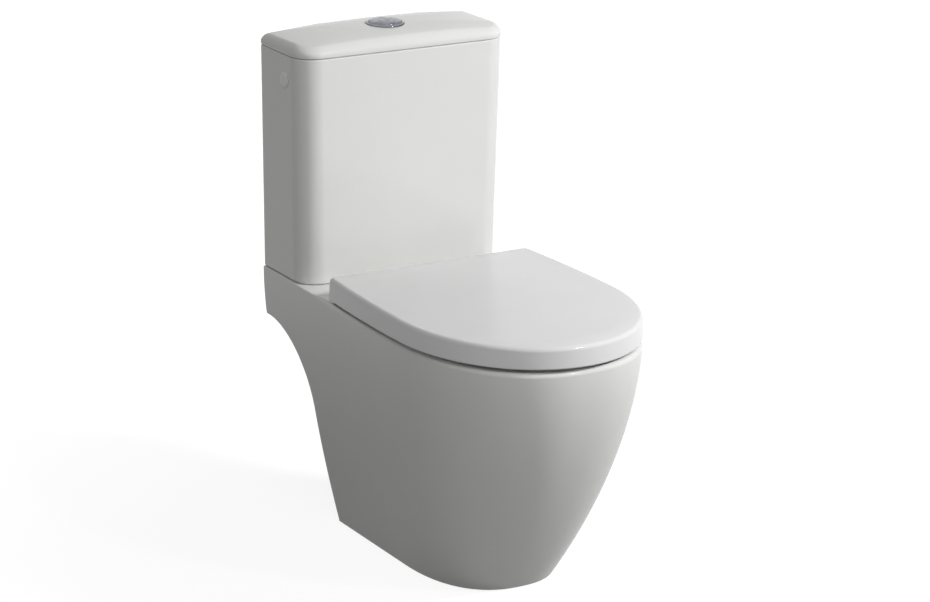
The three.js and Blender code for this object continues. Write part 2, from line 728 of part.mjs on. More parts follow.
const RING_BAND_X = BOWL_HALF_WIDTH + 22;
for (const [word, side] of SIDES) {
  place(
    group(aboveRim, side * (RING_BAND_X - 24), FRONT_Y + 112, 0),
    `ring_bumper_front_${word}`,
    pad(8, FIT, RING_LIFT - FIT),
    softRubber,
  );
  place(
    group(aboveRim, side * RING_BAND_X, HINGE_Y - 70, 0),
    `ring_bumper_rear_${word}`,
    pad(8, FIT, RING_LIFT - FIT),
    softRubber,
  );
  place(
    group(aboveRim, side * (RING_BAND_X - 24), FRONT_Y + 112, 0),
    `lid_bumper_${word}`,
    pad(6, RING_TOP + FIT, LID_INSIDE_TOP - FIT),
    softRubber,
  );
}

// Each hinge: a post on the rim, a pin through it, a bolt through the rim, and a gasket and nut beneath.
for (const [word, side] of SIDES) {
  const hinge = group(aboveRim, postX(side), HINGE_Y, 0);
  const barrel = alongX(bar(HINGE_BARREL_RADIUS, -POST_HALF, POST_HALF, 20)).translate(0, 0, HINGE_HEIGHT);
  const foot = block(-POST_HALF, POST_HALF, -HINGE_BARREL_RADIUS, HINGE_FOOT_REAR, FIT, HINGE_HEIGHT);
  place(hinge, `hinge_post_${word}`, cut(
    join(barrel, foot),
    alongX(bar(HINGE_PIN_RADIUS + FIT, -POST_HALF - 5, POST_HALF + 5, 20)).translate(0, 0, HINGE_HEIGHT),
    bar(HINGE_BOLT_RADIUS + FIT, -5, 9, 16),
  ), chrome);

  const pinHalf = POST_HALF + EAR_GAP + EAR_WIDTH - 1;
  place(
    hinge,
    `hinge_pin_${word}`,
    alongX(bar(HINGE_PIN_RADIUS, -pinHalf, pinHalf, 20)).translate(0, 0, HINGE_HEIGHT),
    steel,
  );
  const underside = -PAN_SLAB;
  place(hinge, `hinge_bolt_${word}`, bar(HINGE_BOLT_RADIUS, underside - 22, 8, 16), steel);
  place(
    hinge,
    `hinge_gasket_${word}`,
    collar(HINGE_BOLT_RADIUS + FIT, 13, underside - 3, underside - FIT, 20),
    rubber,
  );
  place(
    hinge,
    `hinge_wing_nut_${word}`,
    wingNut(HINGE_BOLT_RADIUS + FIT, underside - 3 - FIT - 9, 9),
    valvePlastic,
  );
}

// ---------------------------------------------------------------------------------------------------------
// Flush buttons, in the tank's lid
// ---------------------------------------------------------------------------------------------------------
const button = group(aboveRim, 0, BUTTON_Y, 0);
const CUP_BOTTOM = BUTTON_SEAT - BUTTON_CUP_DEPTH;
const CUP_WEB = 2;
const BEZEL_TOP = BUTTON_SEAT + 5;
const SPRING_SQUEEZED = 8;
const BUTTON_UNDER = CUP_BOTTOM + CUP_WEB + SPRING_SQUEEZED + BUTTON_TRAVEL;
const ROD_X = TUBE_RADIUS + 2.5;
const ROCKER_LEVER = 11; // from the rocker's axle forward to the push rod
const PIVOT_Y = -TUBE_RADIUS - ROCKER_AXLE_RADIUS - 1.5; // rocker axle, from the valve's axis
const ROD_Y = PIVOT_Y - ROCKER_LEVER + VALVE_BEHIND_BUTTON; // from the button's axis
const SPRING_X = 11;
const SPRING_Y = 6;
const SPRING_RADIUS = 5;
const SPLIT_GAP = 0.6;

const rodHole = (side) => bar(PUSH_ROD_RADIUS + 0.8, CUP_BOTTOM - 5, CUP_BOTTOM + 8, 16)
  .translate(side * ROD_X, ROD_Y, 0);
place(button, 'button_bezel', cut(
  turned([
    [0, CUP_BOTTOM],
    [BUTTON_RADIUS + 2.6, CUP_BOTTOM],
    [BUTTON_RADIUS + 2.6, BUTTON_SEAT + FIT],
    [BUTTON_RADIUS + BUTTON_RIM, BUTTON_SEAT + FIT],
    [BUTTON_RADIUS + BUTTON_RIM, BEZEL_TOP - 2],
    [BUTTON_RADIUS + BUTTON_RIM - 1.4, BEZEL_TOP],
    [BUTTON_RADIUS + 0.6, BEZEL_TOP - 0.6],
    [BUTTON_RADIUS + 0.6, CUP_BOTTOM + CUP_WEB],
    [0, CUP_BOTTOM + CUP_WEB],
  ], 32),
  rodHole(-1),
  rodHole(1),
), chrome);
place(
  button,
  'button_nut',
  collar(
    BUTTON_RADIUS + 2.9,
    BUTTON_RADIUS + 7.5,
    LID_TOP - LID_PLATE - FIT - 7,
    LID_TOP - LID_PLATE - FIT,
    32,
  ),
  valvePlastic,
);

/** Half of the round button: a domed top with a stub that guides its spring. */
function buttonHalf(side) {
  const disc = turned([
    [0, BUTTON_UNDER],
    [BUTTON_RADIUS, BUTTON_UNDER],
    [BUTTON_RADIUS, BEZEL_TOP - 0.5],
    [BUTTON_RADIUS - 2.5, BEZEL_TOP + 1.4],
    [BUTTON_RADIUS * 0.55, BEZEL_TOP + 2.8],
    [0, BEZEL_TOP + 3.2],
  ], 32);
  const reach = BUTTON_RADIUS + 5;
  const away = side > 0
    ? block(-reach, SPLIT_GAP / 2, -reach, reach, BUTTON_UNDER - 20, BEZEL_TOP + 20)
    : block(-SPLIT_GAP / 2, reach, -reach, reach, BUTTON_UNDER - 20, BEZEL_TOP + 20);
  const stub = bar(SPRING_RADIUS - 2.2, BUTTON_UNDER - 5, BUTTON_UNDER + 1, 12)
    .translate(side * SPRING_X, SPRING_Y, 0);
  return join(cut(disc, away), stub);
}

/** A coil spring between the cup's web and the button. */
function springGeometry() {
  const turns = 3;
  const wire = 0.8;
  const bottom = CUP_BOTTOM + CUP_WEB + FIT + wire;
  const top = BUTTON_UNDER - FIT - wire;
  const points = Array.from({ length: turns * 8 + 1 }, (_, i) => {
    const angle = (i / 8) * Math.PI * 2;
    return new THREE.Vector3(
      (SPRING_RADIUS - wire) * Math.cos(angle),
      (SPRING_RADIUS - wire) * Math.sin(angle),
      bottom + (top - bottom) * (i / (turns * 8)),
    );
  });
  return tube(points, wire, turns * 9, 5);
}

const AXLE_HEIGHT = ROCKER_HEIGHT;
const ROCKER_HALF_THICKNESS = 2.5;
const ROD_BOTTOM = AXLE_HEIGHT + ROCKER_HALF_THICKNESS + FIT;
for (const [word, side] of [['half', -1], ['full', 1]]) {
  place(button, `button_${word}`, buttonHalf(side), chrome);
  place(
    group(button, side * SPRING_X, SPRING_Y, 0),
    `button_spring_${word}`,
    springGeometry(),
    steel,
  );
  place(
    group(button, side * ROD_X, ROD_Y, 0),
    `push_rod_${word}`,
    bar(PUSH_ROD_RADIUS, ROD_BOTTOM, BUTTON_UNDER - FIT, 14),
    valvePlastic,
  );
}

// ---------------------------------------------------------------------------------------------------------
// Flush valve
// ---------------------------------------------------------------------------------------------------------
const valve = group(aboveRim, 0, -VALVE_SETBACK, 0);
const TANK_FLOOR = CISTERN_BOTTOM + CISTERN_FLOOR;
const BASE_FLANGE = TANK_FLOOR + 3;
const BASE_FLANGE_RADIUS = CAGE_RADIUS + 3.2;
const SEAL_SEAT = BASE_FLANGE + 7;
const SEAL_THICKNESS = 3;
const TUBE_FLANGE = SEAL_SEAT + SEAL_THICKNESS + 2 * FIT;
const CAGE_TOP = AXLE_HEIGHT - 14;
const TAIL_BOTTOM = -22;

place(
  valve,
  'flush_valve_washer',
  collar(TAIL_RADIUS + FIT, CAGE_RADIUS + 3, TANK_FLOOR + FIT, BASE_FLANGE - FIT),
  rubber,
);
place(valve, 'flush_valve_base', turned([
  [TAIL_RADIUS - 5, TAIL_BOTTOM],
  [TAIL_RADIUS, TAIL_BOTTOM],
  [TAIL_RADIUS, BASE_FLANGE],
  [BASE_FLANGE_RADIUS, BASE_FLANGE],
  [BASE_FLANGE_RADIUS, BASE_FLANGE + 4],
  [TAIL_RADIUS, BASE_FLANGE + 4],
  [TAIL_RADIUS - 2, SEAL_SEAT],
  [TAIL_RADIUS - 5, SEAL_SEAT],
]), valvePlastic);
place(
  valve,
  'outlet_back_nut',
  collar(TAIL_RADIUS + FIT, TAIL_RADIUS + 4.5, -14, CISTERN_BOTTOM - FIT - 0.2),
  valvePlastic,
);
place(
  valve,
  'coupling_gasket',
  collar(TAIL_RADIUS + 5, GASKET_RADIUS, -8 + FIT, CISTERN_BOTTOM - FIT - 0.2),
  rubber,
);

const tabX = [TUBE_RADIUS - 2, ROD_X + 4];
const tabZ = {
  full: AXLE_HEIGHT + ROCKER_HALF_THICKNESS + FIT,
  half: AXLE_HEIGHT + ROCKER_HALF_THICKNESS + FIT + HALF_FLUSH_SLACK,
};
const tab = (side, bottom) => block(
  Math.min(side * tabX[0], side * tabX[1]),
  Math.max(side * tabX[0], side * tabX[1]),
  -7,
  4,
  bottom,
  bottom + 4,
);
const TUBE_TOP = tabZ.half + 8;
place(valve, 'overflow_tube', cut(
  join(
    turned([
      [0, SEAL_SEAT - 8],
      [TUBE_RADIUS, SEAL_SEAT - 8],
      [TUBE_RADIUS, TUBE_FLANGE],
      [TAIL_RADIUS - 3, TUBE_FLANGE],
      [TAIL_RADIUS - 3, TUBE_FLANGE + 3],
      [TUBE_RADIUS, TUBE_FLANGE + 6],
      [TUBE_RADIUS, TUBE_TOP],
      [0, TUBE_TOP],
    ]),
    tab(1, tabZ.full),
    tab(-1, tabZ.half),
  ),
  bar(TUBE_RADIUS - 2, SEAL_SEAT - 20, TUBE_TOP + 20),
), bluePlastic);
place(
  valve,
  'flush_seal',
  collar(TUBE_RADIUS + FIT, TAIL_RADIUS - 1, SEAL_SEAT + FIT, SEAL_SEAT + FIT + SEAL_THICKNESS),
  rubber,
);

const CHEEK_X = ROD_X + 5;
function cageGeometry() {
  const shell = turned([
    [0, BASE_FLANGE + 4 + FIT],
    [CAGE_RADIUS, BASE_FLANGE + 4 + FIT],
    [CAGE_RADIUS, CAGE_TOP],
    [0, CAGE_TOP],
  ]);
  const room = bar(CAGE_RADIUS - 3, BASE_FLANGE, CAGE_TOP - 3, 24);
  const guide = bar(TUBE_RADIUS + 0.6, BASE_FLANGE, CAGE_TOP + 5, 24);
  const cheek = (side) => block(
    Math.min(side * CHEEK_X, side * (CHEEK_X + 3)),
    Math.max(side * CHEEK_X, side * (CHEEK_X + 3)),
    PIVOT_Y - 5,
    PIVOT_Y + 5,
    CAGE_TOP - 2,
    AXLE_HEIGHT + 5,
  );
  const port = (turn) => block(-9, 9, CAGE_RADIUS - 10, CAGE_RADIUS + 10, BASE_FLANGE + 12, BASE_FLANGE + 56)
    .rotateZ(turn * (Math.PI / 2) + Math.PI / 4);
  const axle = alongX(bar(ROCKER_AXLE_RADIUS + FIT, -60, 60, 16)).translate(0, PIVOT_Y, AXLE_HEIGHT);
  return cut(
    join(cut(shell, room), cheek(-1), cheek(1)),
    guide,
    port(0),
    port(1),
    port(2),
    port(3),
    axle,
  );
}
place(valve, 'flush_valve_cage', cageGeometry(), greyPlastic);

const pivot = group(valve, 0, PIVOT_Y, AXLE_HEIGHT);
place(
  pivot,
  'rocker_axle',
  alongX(bar(ROCKER_AXLE_RADIUS, -CHEEK_X - 4, CHEEK_X + 4, 16)),
  steel,
);
for (const [word, side] of [['half', -1], ['full', 1]]) {
  const half = ROCKER_HALF_THICKNESS;
  const arm = block(side * ROD_X - 2.5, side * ROD_X + 2.5, -14, 14, -half, half);
  const hub = alongX(bar(ROCKER_AXLE_RADIUS + 2.3, -3.5, 3.5, 16)).translate(side * ROD_X, 0, 0);
  const bore = alongX(bar(ROCKER_AXLE_RADIUS + FIT, -10, 10, 16)).translate(side * ROD_X, 0, 0);
  place(pivot, `rocker_${word}`, cut(join(arm, hub), bore), greyPlastic);
}

// Bolts that hold the tank to the ledge
for (const [word, side] of SIDES) {
  const bolt = group(aboveRim, side * (CISTERN_BOLT_SPACING / 2), -CISTERN_DEPTH / 2, 0);
  const headBottom = TANK_FLOOR + 4.5;
  place(bolt, `cistern_bolt_${word}`, turned([
    [0, -PAN_SLAB - 22],
    [CISTERN_BOLT_RADIUS, -PAN_SLAB - 22],
    [CISTERN_BOLT_RADIUS, headBottom],
    [CISTERN_BOLT_RADIUS + 4, headBottom],
    [CISTERN_BOLT_RADIUS + 4, headBottom + 4],
    [0, headBottom + 4],
  ], 16), brass);
  place(
    bolt,
    `cistern_bolt_washer_${word}`,
    collar(CISTERN_BOLT_RADIUS + FIT, CISTERN_BOLT_RADIUS + 8, TANK_FLOOR + FIT, headBottom - FIT, 20),
    rubber,
  );
  place(
    bolt,
    `cistern_wing_nut_${word}`,
    wingNut(CISTERN_BOLT_RADIUS + FIT, -PAN_SLAB - FIT - 9, 9),
    brass,
  );
}

// ---------------------------------------------------------------------------------------------------------
// Fill valve on the right, blanking plug on the left
// ---------------------------------------------------------------------------------------------------------
const wallOutside = tankHalf(INLET_HEIGHT);
const wallInside = wallOutside - CISTERN_WALL;
const SIDE_SLOPE = 0.6; // spare room for the slight tilt of the tank's sides
const fill = group(aboveRim, 0, -INLET_SETBACK, INLET_HEIGHT);
const FLANGE_X = wallInside - SIDE_SLOPE - 3; // inlet flange, towards the wall
const HEAD_X = [FLANGE_X - 64, FLANGE_X - 12];
const FLOAT_X = HEAD_X[0] + 9;
const PIPE_X = HEAD_X[1] - 8;
const PIVOT_X = HEAD_X[1] - 8;
const HEAD_Z = [-18, 10];
const ARM_Z = HEAD_Z[1] + 9;
const FLOAT_TOP = HEAD_Z[0] - FLOAT_TRAVEL - 18;
const FLOAT_Z = [FLOAT_TOP - FLOAT_HEIGHT, FLOAT_TOP];
const STALK_X = HEAD_X[0] - 4;

function fillBodyGeometry() {
  const tail = alongX(bar(INLET_RADIUS, HEAD_X[1] - 5, wallOutside + INLET_REACH, 20));
  const flange = alongX(bar(INLET_RADIUS + 6, FLANGE_X - 4, FLANGE_X, 20));
  const head = block(HEAD_X[0], HEAD_X[1], -11, 11, HEAD_Z[0], HEAD_Z[1]);
  const guide = bar(4, FLOAT_Z[0] - 8, HEAD_Z[0] + 2, 14).translate(FLOAT_X, 0, 0);
  const stop = bar(7, FLOAT_Z[0] - 4, FLOAT_Z[0] - FIT, 14).translate(FLOAT_X, 0, 0);
  const pipe = bar(6, -250, HEAD_Z[0] + 2, 16).translate(PIPE_X, 0, 0);
  const pipeBore = bar(4.5, -260, HEAD_Z[0] + 8, 16).translate(PIPE_X, 0, 0);
  const waterWay = alongX(bar(INLET_RADIUS - 2.5, HEAD_X[1] - 10, wallOutside + 50, 16));
  const lug = (side) => block(
    PIVOT_X - 5,
    PIVOT_X + 5,
    Math.min(side * 6, side * 9),
    Math.max(side * 6, side * 9),
    HEAD_Z[1] - 1,
    ARM_Z + 5,
  );
  const pinHole = alongY(bar(1.8, -20, 20, 12)).translate(PIVOT_X, 0, ARM_Z);
  return cut(join(tail, flange, head, guide, stop, pipe, lug(-1), lug(1)), pipeBore, waterWay, pinHole);
}
place(fill, 'fill_valve_body', fillBodyGeometry(), valvePlastic);
place(fill, 'fill_float', cut(
  join(
    bar(FLOAT_RADIUS, FLOAT_Z[0], FLOAT_Z[1], 20).translate(FLOAT_X, 0, 0),
    bar(1.8, FLOAT_Z[1] - 1, ARM_Z - 3 - FIT, 10).translate(STALK_X, 0, 0),
  ),
  bar(4.6, FLOAT_Z[0] - 10, FLOAT_Z[1] + 10, 16).translate(FLOAT_X, 0, 0),
), greyPlastic);
place(fill, 'float_arm', cut(
  join(
    block(STALK_X - 5, PIVOT_X, -4, 4, ARM_Z - 3, ARM_Z + 3),
    alongY(bar(4.5, -4, 4, 16)).translate(PIVOT_X, 0, ARM_Z),
  ),
  alongY(bar(1.5 + FIT, -20, 20, 12)).translate(PIVOT_X, 0, ARM_Z),
), bluePlastic);
place(
  fill,
  'float_arm_pin',
  alongY(bar(1.5, -10, 10, 12)).translate(PIVOT_X, 0, ARM_Z),
  steel,
);
place(
  fill,
  'inlet_washer',
  alongX(collar(INLET_RADIUS + FIT, INLET_RADIUS + 5, FLANGE_X + FIT, wallInside - SIDE_SLOPE, 20)),
  rubber,
);
place(
  fill,
  'inlet_lock_nut',
  alongX(hexNut(INLET_RADIUS + FIT, INLET_RADIUS + 6, wallOutside + SIDE_SLOPE, wallOutside + 6)),
  valvePlastic,
);

place(fill, 'blanking_plug', alongX(turned([
  [0, -wallOutside - PLUG_CAP_HEIGHT],
  [PLUG_CAP_RADIUS - PLUG_CAP_EDGE, -wallOutside - PLUG_CAP_HEIGHT],
  [PLUG_CAP_RADIUS, -wallOutside - PLUG_CAP_HEIGHT + PLUG_CAP_EDGE],
  [PLUG_CAP_RADIUS, -wallOutside - SIDE_SLOPE],
  [INLET_RADIUS, -wallOutside - SIDE_SLOPE],
  [INLET_RADIUS, -wallInside + 14],
  [0, -wallInside + 14],
], 28)), softRubber);
place(
  fill,
  'blanking_plug_nut',
  alongX(hexNut(INLET_RADIUS + FIT, INLET_RADIUS + 6, -wallInside + SIDE_SLOPE, -wallInside + 8)),
  valvePlastic,
);

export default toilet;
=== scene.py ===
"""Close coupled toilet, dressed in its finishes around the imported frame.

The pan, cistern and cistern lid are slip-cast vitreous china under a clear glaze, the seat is moulded
duroplast, the buttons and hinges are plated, and the valves are moulded in engineering plastics. Sizes are
in millimetres until a mesh is made, and Y is counted from the wall towards the front, so it is negative.
"""

import json
import logging
import math
from collections.abc import Sequence
from dataclasses import dataclass
from enum import Enum

import bmesh
import bpy
import numpy as np
from bpy.types import ID, Material, Node, NodeSocket as Socket, NodeTree as Tree, Object as Piece
from mathutils import Matrix, Vector


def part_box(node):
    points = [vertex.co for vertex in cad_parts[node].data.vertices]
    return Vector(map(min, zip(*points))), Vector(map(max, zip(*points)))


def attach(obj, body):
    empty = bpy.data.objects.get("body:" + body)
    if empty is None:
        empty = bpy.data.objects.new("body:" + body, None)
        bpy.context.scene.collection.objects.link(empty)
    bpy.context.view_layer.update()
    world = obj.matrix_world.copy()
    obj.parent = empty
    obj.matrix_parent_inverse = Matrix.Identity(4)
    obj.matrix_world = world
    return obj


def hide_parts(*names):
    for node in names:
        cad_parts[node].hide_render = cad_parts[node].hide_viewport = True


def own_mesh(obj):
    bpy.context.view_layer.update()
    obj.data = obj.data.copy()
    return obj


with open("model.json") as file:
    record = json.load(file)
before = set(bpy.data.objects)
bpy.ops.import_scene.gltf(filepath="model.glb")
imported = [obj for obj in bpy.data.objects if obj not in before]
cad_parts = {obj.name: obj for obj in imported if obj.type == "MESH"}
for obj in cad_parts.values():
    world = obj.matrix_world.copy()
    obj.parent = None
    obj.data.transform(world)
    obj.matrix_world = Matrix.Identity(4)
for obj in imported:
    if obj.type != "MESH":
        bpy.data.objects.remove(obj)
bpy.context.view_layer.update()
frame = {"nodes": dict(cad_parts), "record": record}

MM = 0.001
SCRAP = 12  # a loose bit with fewer corners than this is no part of a piece
CROSSING = math.radians(80)  # how far a rounding is swept before it leaves the face that it runs into
PAST = 5.0  # how far a cutter reaches past the face that it opens
FIT = 0.3  # clearance of a pin or bolt in its hole
DOWNWARD = -0.9  # a face points down where its normal's Z is less than this
SOFT, CRISP = 35.0, 30.0  # degrees above which edges stay sharp, on large pieces and on small fittings
SIDES = (("left", -1), ("right", 1))
SWELL_STEPS, D_STEPS, EGG_STEPS = 18, 44, 32  # segments in a D's side, in its front, in a quarter of an egg
log = logging.getLogger("toilet")

Pair = tuple[float, float]
Triple = tuple[float, float, float]
Feed = Socket | Node  # what an input of a node can be fed from; a node stands for its first output


# ---- The frame, in millimetres from the wall ----

WALL = Vector((0.0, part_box("cistern")[1].y / MM, 0.0))  # the middle of the wall's foot, in the row frame
BEHAVIOUR = frame["record"]["behaviour"]
NODE_BODY = {node: body for body, nodes in BEHAVIOUR["bodies"].items() for node in nodes}
NODE_SLOT = {part["node"]: part["material_slot"] for part in frame["record"]["subparts"]}


class Place:
    """Where a CAD node is, in millimetres from the wall.

    Attributes:
        low: Its lowest corner.
        high: Its highest corner.
        middle: The point half way between them.
        half: Half of its width.
        tall: Its height.
    """

    def __init__(self, node: str) -> None:
        """Looks the node up in the frame."""
        self.low, self.high = (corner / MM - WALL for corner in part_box(node))
        self.middle = (self.low + self.high) / 2
        self.half = (self.high.x - self.low.x) / 2
        self.tall = self.high.z - self.low.z


RIM = Place("pan").high.z
HINGE = Vector(next(j for j in BEHAVIOUR["joints"] if j["name"] == "lid_hinge")["pos_m"]) / MM - WALL
VALVE_Y = -58.0  # the flush valve's axis, which tank and pan share
BOLT_X, BOLT_HOLE = 75.0, 6.0  # the bolts between tank and pan: distance from the middle, radius of the holes


# ---- Shapes: flat outlines, closed shells, and how shells are joined and cut ----


def rounded(corners: Sequence[Sequence[float]], steps: int = 5) -> list[Pair]:
    """Rounds the corners of an open line.

    Args:
        corners: Points as (across, up) or (across, up, radius).
        steps: Segments in each rounding.

    Returns:
        The line's points, with an arc in place of each corner that has a radius.
    """
    line: list[Pair] = []
    for i, corner in enumerate(corners):
        here = np.array(corner[:2], float)
        radius = corner[2] if len(corner) > 2 else 0.0
        if radius == 0.0 or i in (0, len(corners) - 1):
            line.append(tuple(here))
            continue
        before = np.array(corners[i - 1][:2], float) - here
        after = np.array(corners[i + 1][:2], float) - here
        before /= np.linalg.norm(before)
        after /= np.linalg.norm(after)
        half = math.acos(float(np.clip(before @ after, -1, 1))) / 2
        reach = radius / math.tan(half)
        centre = here + (before + after) / np.linalg.norm(before + after) * radius / math.sin(half)
        start, end = here + before * reach - centre, here + after * reach - centre
        turn = math.pi - 2 * half
        for k in range(steps + 1):
            share = k / steps
            point = start * math.sin((1 - share) * turn) + end * math.sin(share * turn)
            line.append(tuple(centre + point / math.sin(turn)))
    return line


def fillet(radius: float, steps: int) -> list[Pair]:
    """A quarter turn as distances to the two faces that it joins, from (0, radius) to (radius, 0)."""
    turns = np.linspace(0, math.pi / 2, steps)
    return [(radius * (1 - math.cos(t)), radius * (1 - math.sin(t))) for t in turns]


def mirrored(half: Sequence[Pair]) -> np.ndarray:
    """Closes a half outline, listed from the rear to the front at x >= 0, over the plane x = 0."""
    left = [(-x, y) for x, y in half if x > 0]
    ends = [(x, y) for x, y in half if x == 0]
    right = [(x, y) for x, y in half if x > 0][::-1]
    return np.array([ends[0], *left, ends[1], *right])


def nose(half: float, start: float, end: float, power: float, count: int) -> list[Pair]:
    """A quarter of a superellipse from (half, start) to (0, end), without its first point."""
    points = []
    for i in range(1, count):
        angle = math.pi / 2 * i / count
        across = half * math.cos(angle) ** (2 / power)
        points.append((across, start + (end - start) * math.sin(angle) ** (2 / power)))
    return [*points, (0.0, end)]


def rear_edge(rear: float, half: float, corner: float) -> list[Pair]:
    """Half of a straight rear edge with its rounded corner."""
    return [(0.0, rear), (half / 2, rear), *((half - gap, rear - drop) for drop, gap in fillet(corner, 7))]


def d_outline(
    rear: float, rear_half: float, corner: float, start: float, half: float, front: float, power: float
) -> np.ndarray:
    """A D in plan: straight rear edge, sides that swell slightly, rounded front.

    Args:
        rear: Y of the rear edge.
        rear_half: Half width at the rear.
        corner: Radius of the rear corners.
        start: Y where the rounded front starts.
        half: Half width there.
        front: Y of the foremost point.
        power: Power of the front's superellipse.

    Returns:
        The closed outline.
    """
    points = rear_edge(rear, rear_half, corner)
    for i in range(1, SWELL_STEPS + 1):
        share = i / SWELL_STEPS
        across = rear_half + (half - rear_half) * (1 - (1 - share) ** 2)
        points.append((across, rear - corner + (start - rear + corner) * share))
    return mirrored([*points, *nose(half, start, front, power, D_STEPS)])


def box_outline(half: float, rear: float, front: float, rear_corner: float, corner: float) -> np.ndarray:
    """A rounded rectangle in plan that has other corners at the front than at the rear."""
    side = [(half - inset, front + gap) for inset, gap in fillet(corner, 17)]
    return mirrored([*rear_edge(rear, half, rear_corner), *side, (half / 2, front), (0.0, front)])


def egg_outline(half: float, rear: float, middle: float, front: float, power: float) -> np.ndarray:
    """An egg in plan."""
    back = nose(half, middle, rear, power, EGG_STEPS)[::-1]
    return mirrored([*back, (half, middle), *nose(half, middle, front, power, EGG_STEPS)])


def shrinking(outline: np.ndarray, middle: float, count: int) -> list[np.ndarray]:
    """Copies of an outline, without itself, that shrink towards a point at x = 0."""
    centre = np.array([0, middle])
    return [centre + (outline - centre) * share for share in np.linspace(1, 0.04, count)[1:]]


def lift(outline: np.ndarray, height: float | np.ndarray) -> np.ndarray:
    """Lifts a flat outline to one height, or to a height for each of its points."""
    return np.column_stack([outline, np.full(len(outline), height)])


@dataclass
class Shell:
    """A closed surface in millimetres."""

    corners: np.ndarray  # one row of x, y, z for each corner
    faces: list[tuple[int, ...]]  # corner numbers of each face, counter-clockwise seen from outside

    @classmethod
    def loft(cls, rings: Sequence[np.ndarray]) -> "Shell":
        """Skins rings of equal counts that run counter-clockwise seen from the far end."""
        count = len(rings[0])
        faces: list[tuple[int, ...]] = [tuple(range(count))[::-1]]
        for level in range(len(rings) - 1):
            for i in range(count):
                a, b = level * count + i, level * count + (i + 1) % count
                faces.append((a, b, b + count, a + count))
        faces.append(tuple(range((len(rings) - 1) * count, len(rings) * count)))
        return cls(np.concatenate(rings), faces)

    @classmethod
    def turned(cls, profile: Sequence[Sequence[float]], sides: int = 64) -> "Shell":
        """Turns a profile of (radius, height) around Z, counter-clockwise in its half plane.

        Args:
            profile: It starts and ends on the axis, or closes on itself off the axis.
            sides: Segments in a full turn.

        Returns:
            The closed shell.
        """
        closed = profile[0][0] > 0
        inner = list(profile) if closed else list(profile[1:-1])
        count = len(inner)
        angles = [2 * math.pi * i / sides for i in range(sides)]
        corners = [(r * math.cos(a), r * math.sin(a), z) for a in angles for r, z in inner]
        foot, top = len(corners), len(corners) + 1
        if not closed:
            corners += [(0.0, 0.0, profile[0][1]), (0.0, 0.0, profile[-1][1])]
        faces: list[tuple[int, ...]] = []
        caps: list[tuple[int, ...]] = []
        for i in range(sides):
            here, there = i * count, (i + 1) % sides * count
            for k in range(count if closed else count - 1):
                n = (k + 1) % count
                faces.append((here + k, there + k, there + n, here + n))
            caps += [(foot, there, here), (top, here + count - 1, there + count - 1)]
        return cls(np.array(corners), faces if closed else faces + caps)

    def moved(self, x: float = 0.0, y: float = 0.0, z: float = 0.0) -> "Shell":
        """The same shell, moved."""
        return Shell(self.corners + np.array([x, y, z]), self.faces)

    def along_x(self) -> "Shell":
        """A shell that stands along Z, laid along X."""
        x, y, z = self.corners.T
        return Shell(np.column_stack([z, y, -x]), self.faces)

    def along_y(self) -> "Shell":
        """A shell that stands along Z, laid along Y."""
        x, y, z = self.corners.T
        return Shell(np.column_stack([x, z, -y]), self.faces)

    def piece(self, name: str) -> Piece:
        """Makes the shell an object in the row frame, in metres."""
        mesh = bpy.data.meshes.new(name)
        mesh.from_pydata(((self.corners + np.array(WALL)) * MM).tolist(), [], self.faces)
        mesh.update()
        return linked(name, mesh)


def linked(name: str, data: ID) -> Piece:
    """Puts a mesh, a lamp or a camera into the scene as an object."""
    made = bpy.data.objects.new(name, data)
    bpy.context.scene.collection.objects.link(made)
    return made


def bar(radius: float, bottom: float, top: float, edge: float = 0.0, sides: int = 48) -> Shell:
    """A round bar along Z, with rounded rims where an edge radius is given."""
    profile = rounded([(0, bottom), (radius, bottom, edge), (radius, top, edge), (0, top)], 3)
    return Shell.turned(profile, sides)


def axle(radius: float, half: float, x: float, edge: float = 0.0, sides: int = 48) -> Shell:
    """A round bar along the hinges' axis, by its half length and the X of its middle."""
    return bar(radius, -half, half, edge, sides).along_x().moved(x, HINGE.y, HINGE.z)


def collar(inner: float, outer: float, bottom: float, top: float, edge: float) -> Shell:
    """A round ring along Z with rounded rims."""
    middle = (bottom + top) / 2
    line = [(inner, middle), (inner, bottom, edge), (outer, bottom, edge), (outer, top, edge)]
    return Shell.turned(rounded([*line, (inner, top, edge), (inner, middle)], 3)[:-1], 48)


def block(low_corner: Sequence[float], high_corner: Sequence[float]) -> Shell:
    """A plain block between two corners, for cutting."""
    (x0, y0, z0), (x1, y1, z1) = low_corner, high_corner
    foot = np.array([(x0, y0), (x1, y0), (x1, y1), (x0, y1)], float)
    return Shell.loft([lift(foot, z0), lift(foot, z1)])


def crossing(radius: float, run: float, steps: int = 7) -> list[Pair]:
    """The rounding between a cut face and the skin that it breaks through.

    It leaves the cut face along the face and meets the skin at a shallow angle, so that the two solids cross
    cleanly.

    Args:
        radius: Radius of the rounding.
        run: How far it runs on past its end.
        steps: Segments in the rounding.

    Returns:
        Points of (depth below the skin, widening of the cut), from the cut face outwards.
    """
    turns = [CROSSING * i / steps for i in range(steps + 1)]
    points = [(radius * (1 - math.sin(t)), radius * (1 - math.cos(t))) for t in turns]
    depth, widening = points[-1]
    return [*points, (depth - run * math.cos(CROSSING), widening + run * math.sin(CROSSING))]


def bore(radius: float, bottom: float, top: float, mouth: float) -> Shell:
    """A cutter for a round hole along Z that opens in the face at its top.

    Args:
        radius: Radius of the hole.
        bottom: Height of its lower end.
        top: Height of the face that it opens in.
        mouth: Radius of the rounding at that face.

    Returns:
        The cutter.
    """
    flare = [(radius + widening, top - depth) for depth, widening in crossing(mouth, 6 * mouth)]
    return Shell.turned([(0, bottom), (radius, bottom), *flare, (0, flare[-1][1])])


